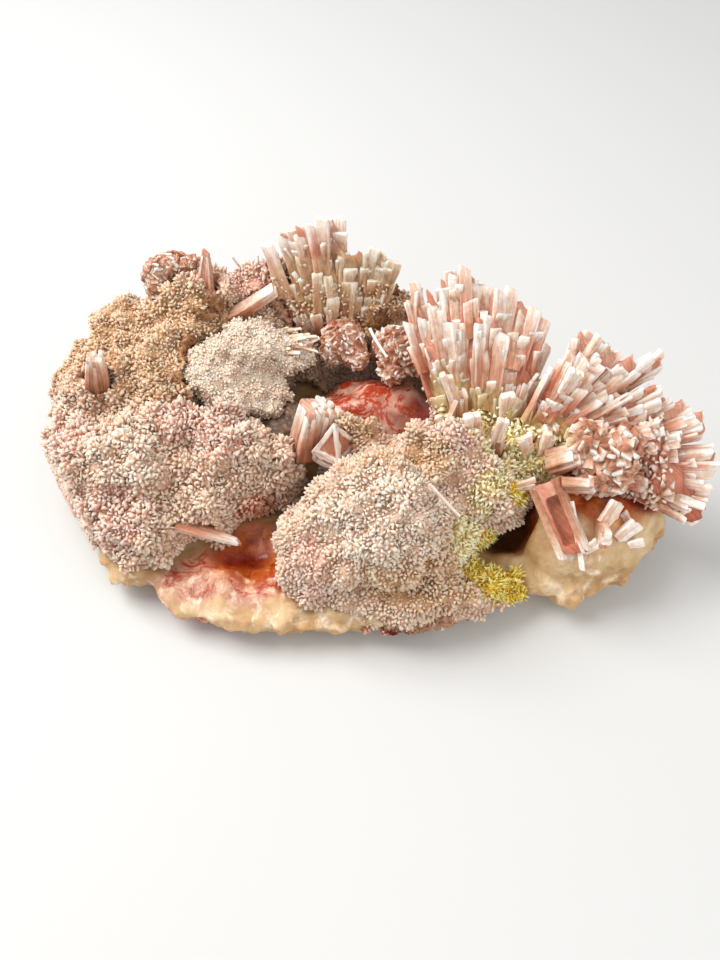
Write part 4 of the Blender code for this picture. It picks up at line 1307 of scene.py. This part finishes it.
def build_point():
    """The house-like crystal: a square column on its edge under a steep pyramid, whose faces are
    sunk between white ridges."""
    deselect_all()
    bpy.ops.mesh.primitive_cylinder_add(
        vertices=4, radius=1.0, depth=HOUSE_WALL, location=(0, 0, HOUSE_WALL / 2)
    )
    house = bpy.context.active_object
    house.name = "stilbite_point_crystal"
    bpy.ops.object.mode_set(mode="EDIT")
    select_where(house, "FACE", lambda face: face.normal.z > 0.9)
    bpy.ops.mesh.extrude_region_move(TRANSFORM_OT_translate={"value": (0, 0, HOUSE_ROOF)})
    bpy.ops.transform.resize(value=(HOUSE_TIP, HOUSE_TIP, 1.0))
    select_where(house, "FACE", lambda face: abs(face.normal.z) < 0.9)
    bpy.ops.mesh.inset(thickness=0.16, depth=0.0, use_individual=True)
    bpy.ops.mesh.inset(thickness=0.05, depth=-0.1, use_individual=True)
    bpy.ops.mesh.select_all(action="SELECT")
    bpy.ops.mesh.subdivide(number_cuts=4)
    bpy.ops.object.mode_set(mode="OBJECT")
    bpy.ops.object.transform_apply(location=True, rotation=True, scale=True)
    unit = coordinates(house.data)
    square = np.abs(unit[:, 0]) + np.abs(unit[:, 1])
    full = 1.0 - (1.0 - HOUSE_TIP) * np.clip((unit[:, 2] - HOUSE_WALL) / HOUSE_ROOF, 0.0, 1.0)
    sunk = np.clip((full - square) / 0.12, 0.0, 1.0)
    foot, direction, size = POINT_CRYSTAL
    place = np.array(blade_place(foot, direction, POINT_TURN))
    moved = (unit * np.array(size)) @ place[:3, :3].T + place[:3, 3]
    set_coordinates(house.data, moved * MM)
    set_strip(house.data, np.stack([moved[:, 0] + moved[:, 1], moved[:, 2]], axis=1))
    set_values(house.data, "tip", 0.9 - 0.5 * sunk)
    set_values(house.data, "tone", np.full(len(unit), 0.5))
    set_values(house.data, "edge", 1.0 - sunk)
    set_values(house.data, "salmon", np.clip(0.32 * sunk + 0.1, 0, 1))
    roughen(house, 1.0, 1.4, 0.7)
    sharpen(house)
    stain_values(house, 0.35)
    finish_piece(house, "stilbite", "stilbite_point")


def build_frame_crystal(template):
    """The long crystal with a channel: two walls of lamellae on its solid's own skin."""
    foot, direction, length = FRAME_CRYSTAL
    draw = np.random.default_rng(FRAME_SEED)
    place = blade_place(foot, direction, 0)
    rows = []
    for middle, width, depth in FRAME_WALLS:
        moved = place @ Matrix.Translation((middle, 0, 0))
        rows += laths_of(moved, length, width, depth, 1.0, 0.95, 0.25, draw, 1.0)
    laths = lath_mesh("frame_laths", template, rows, draw)
    core = core_of("stilbite_frame", "frame_core", FRAME_VOXEL, 0.55)
    whole = join("stilbite_frame_crystal", core, laths)
    sharpen(whole)
    stain_values(whole)
    finish_piece(whole, "stilbite", "stilbite_frame")


class SPECIMEN_OT_masses(bpy.types.Operator):
    """Builds the pink shells, the knob and the curled crystal on the hill"""

    bl_idname = "specimen.masses"
    bl_label = "Knobbly masses"

    def execute(self, context):
        template = lath_template()
        for seed, row in enumerate(MASSES, MASS_SEED):
            build_mass(*row, seed, template)
        return {"FINISHED"}


class SPECIMEN_OT_druse(bpy.types.Operator):
    """Builds the white plate of druse, covered with fine grains, with thin tips at its edge"""

    bl_idname = "specimen.druse"
    bl_label = "White druse"

    def execute(self, context):
        draw = np.random.default_rng(DRUSE_SEED)
        plate = skin_copy("druse_plate", "druse_ground", DRUSE_VOXEL)
        roughen(plate, np.ones(len(plate.data.vertices)), 4.0, 1.6)
        relief(plate, "VORONOI", 2.6, -1.8, 0.4)
        sink(plate, 0.4)
        tree = solids_tree(left_out=("druse_plate",))
        spots = scatter(plate, even(DRUSE_SPACING), {}, tree, SMALL_REACH, draw)
        count = len(spots.places)
        sizes = draw.uniform((0.26, 0.2, 0.5), (0.7, 0.5, 1.3), (count, 3)) * MM
        beads = copies(
            "druse_beads", prong_template(), axes_from(tilted(spots.ups, 0.7, draw), draw),
            spots.places - spots.ups * 0.25 * MM, sizes, np.full(count, -0.2), {}, draw,
        )
        laths = []
        for _ in range(DRUSE_TIPS):
            foot = np.array(DRUSE_TIPS_PLACE) + draw.normal(size=3) * (2.0, 3.6, 1.0)
            way = np.array((1.0, 0.15, 0.1)) + draw.normal(size=3) * (0.2, 0.45, 0.2)
            size = (draw.uniform(1.2, 3.0), 0.7)
            laths.append((
                plate_place(foot, way, (0.0, -0.3, 1.0)), draw.uniform(4.0, 9.0), 0, 0, *size, 0.9,
                0.5, 0.0, draw.random(),
            ))
        tips = lath_mesh("druse_tips", lath_template(), laths, draw)
        set_values(plate.data, "tip", np.full(len(plate.data.vertices), 0.5))
        whole = join("druse_skin", plate, beads, tips)
        finish_piece(whole, "druse", "druse_plate")
        return {"FINISHED"}


class SPECIMEN_OT_rods(bpy.types.Operator):
    """Builds the thin loose rods and the small chips that stand on the crusts"""

    bl_idname = "specimen.rods"
    bl_label = "Thin rods and chips"

    def execute(self, context):
        template, draw = lath_template(), np.random.default_rng(ROD_SEED)
        rows = []
        for start, end, radius in RODS:
            way = Vector(end) - Vector(start)
            place = blade_place(start, way, draw.uniform(0, 90))
            size = (way.length, 0, 0, 2 * radius, 1.8 * radius)
            rows.append((place, *size, 1.0, 0.8, 0.05, draw.random()))
        tree = solids_tree()
        for (x, y), axis, (length, width, thickness) in FRAGMENTS:
            under = tree.ray_cast(Vector((x, y, 200.0)) * MM, Vector((0, 0, -1)))[0]
            if under is None:
                raise RuntimeError(f"No solid lies under the chip at {x}, {y}")
            foot = under / MM - Vector(axis).normalized() * CHIP_ROOT
            place = plate_place(foot, axis, (0.1, -1.0, 0.5))
            laths = laths_of(place, length, width, thickness, 0.95, 0.8, 0.12, draw, CHIP_LATH_WIDTH)
            rows += [(*lath[:6], 0.8, 0.95, *lath[8:]) for lath in laths]
        rods = lath_mesh("stilbite_rods", template, rows, draw)
        set_values(rods.data, "tip", 0.75 + 0.25 * values_of(rods.data, "tip"))
        sharpen(rods)
        stain_values(rods, 0.35)
        finish_piece(rods, "stilbite")
        return {"FINISHED"}


class SPECIMEN_OT_stage(bpy.types.Operator):
    """Sets the floor, the soft studio light and the camera"""

    bl_idname = "specimen.stage"
    bl_label = "Studio"

    def execute(self, context):
        deselect_all()
        bpy.ops.mesh.primitive_plane_add(size=FLOOR_SIZE * MM, location=(0, 0, 0))
        floor = context.active_object
        floor.name = "studio_floor"
        made, _, _ = new_material("matt studio floor", Base_Color=linear("#cccbc8"), Roughness=0.9)
        floor.data.materials.append(made)
        world = bpy.data.worlds.new("studio")
        context.scene.world = world
        world.use_nodes = True
        sky = world.node_tree.nodes["Background"]
        sky.inputs["Color"].default_value = linear("#e6e8ec")
        sky.inputs["Strength"].default_value = SKY_STRENGTH
        for name, place, size, power in LAMPS:
            lamp = bpy.data.lights.new(name, "AREA")
            lamp.energy, lamp.size = power, size
            holder = bpy.data.objects.new(name, lamp)
            context.scene.collection.objects.link(holder)
            holder.location = Vector(place) * MM
            holder.rotation_euler = (-Vector(place)).to_track_quat("-Z", "Y").to_euler()
        context.scene.view_settings.view_transform = "Standard"
        set_camera(context)
        return {"FINISHED"}


def set_camera(context):
    """Puts the camera at the photograph's distance and angle."""
    eye = bpy.data.cameras.new("camera")
    eye.lens, eye.sensor_width = CAMERA_LENS, CAMERA_SENSOR
    eye.clip_start, eye.clip_end = 0.01, 10.0
    holder = bpy.data.objects.new("camera", eye)
    context.scene.collection.objects.link(holder)
    lift = math.radians(CAMERA_ELEVATION)
    back = Vector((0.0, -math.cos(lift), math.sin(lift)))
    holder.location = (Vector(CAMERA_AIM) + back * CAMERA_DISTANCE) * MM
    holder.rotation_euler = (-back).to_track_quat("-Z", "Y").to_euler()
    context.scene.camera = holder


def colour_setting(name, description, default):
    """A colour that the user can change, its default in sRGB hex."""
    return FloatVectorProperty(
        name=name, description=description, default=linear(default), subtype="COLOR", size=4,
        min=0, max=1,
    )


def size_setting(name, description, default, least, most):
    """A length that the user can change, its default and its limits in millimetres."""
    return FloatProperty(
        name=name, description=description, default=default * MM, min=least * MM, max=most * MM,
        unit="LENGTH", precision=4,
    )


class SpecimenSettings(bpy.types.PropertyGroup):
    """Sizes and colours that someone who changes the specimen would want"""

    mordenite_tips: colour_setting(
        "Mordenite tips", "Colour of the ends of the mordenite prongs", "#e8d0ba"
    )
    # The roots' colour lies in the pits between the prongs: partly the crust's own ochre, partly painted
    # shade
    mordenite_roots: colour_setting(
        "Mordenite roots", "Colour in the pits between the mordenite prongs", "#a67a5e"
    )
    stilbite_ends: colour_setting(
        "Stilbite ends", "Colour of the ends and edges of the stilbite blades", "#f8ebe1"
    )
    stilbite_flush: colour_setting(
        "Stilbite flush", "Colour of the salmon clefts of the stilbite blades", "#b2583e"
    )
    chalcedony_cream: colour_setting(
        "Chalcedony cream", "Palest colour of the chalcedony slab", "#e0c89e"
    )
    chalcedony_amber: colour_setting(
        "Chalcedony amber", "Brightest colour of the amber hollows and dome", "#dc9c5c"
    )
    iron_red: colour_setting(
        "Iron red", "Brightest colour of the iron stains in the chalcedony", "#c8602f"
    )
    druse_grains: colour_setting(
        "Druse grains", "Colour of the grains of the druse plate", "#efdfca"
    )
    prong_width: size_setting("Prong width", "Usual width of a mordenite prong", 1.6, 0.5, 4.0)
    prong_length: size_setting("Prong length", "Usual length of a mordenite prong", 1.9, 0.5, 6.0)
    plate_spacing: size_setting(
        "Plate spacing", "How far apart the short plates of a sheaf stand", 3.7, 2.0, 10.0
    )


class SPECIMEN_PT_panel(bpy.types.Panel):
    """Lists the specimen's settings and the steps that build it"""

    bl_label = "Specimen"
    bl_idname = "SPECIMEN_PT_panel"
    bl_space_type = "VIEW_3D"
    bl_region_type = "UI"
    bl_category = "Specimen"

    def draw(self, context):
        settings = context.scene.specimen
        for name in settings.__annotations__:
            self.layout.prop(settings, name)
        for step in STEPS:
            self.layout.operator(step.bl_idname)


STEPS = (
    SPECIMEN_OT_matrix, SPECIMEN_OT_crusts, SPECIMEN_OT_sheaves, SPECIMEN_OT_crystals,
    SPECIMEN_OT_masses, SPECIMEN_OT_druse, SPECIMEN_OT_rods, SPECIMEN_OT_stage,
)


def register():
    """Adds the settings, the steps and the panel to Blender."""
    for made in (SpecimenSettings, *STEPS, SPECIMEN_PT_panel):
        bpy.utils.register_class(made)
    bpy.types.Scene.specimen = PointerProperty(type=SpecimenSettings)


def unregister():
    """Takes them out again."""
    del bpy.types.Scene.specimen
    for made in reversed((SpecimenSettings, *STEPS, SPECIMEN_PT_panel)):
        bpy.utils.unregister_class(made)


def main():
    """Registers the add-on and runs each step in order."""
    register()
    bpy.ops.specimen.matrix()
    bpy.ops.specimen.crusts()
    bpy.ops.specimen.sheaves()
    bpy.ops.specimen.crystals()
    bpy.ops.specimen.masses()
    bpy.ops.specimen.druse()
    bpy.ops.specimen.rods()
    bpy.ops.specimen.stage()


if __name__ == "__main__":
    main()
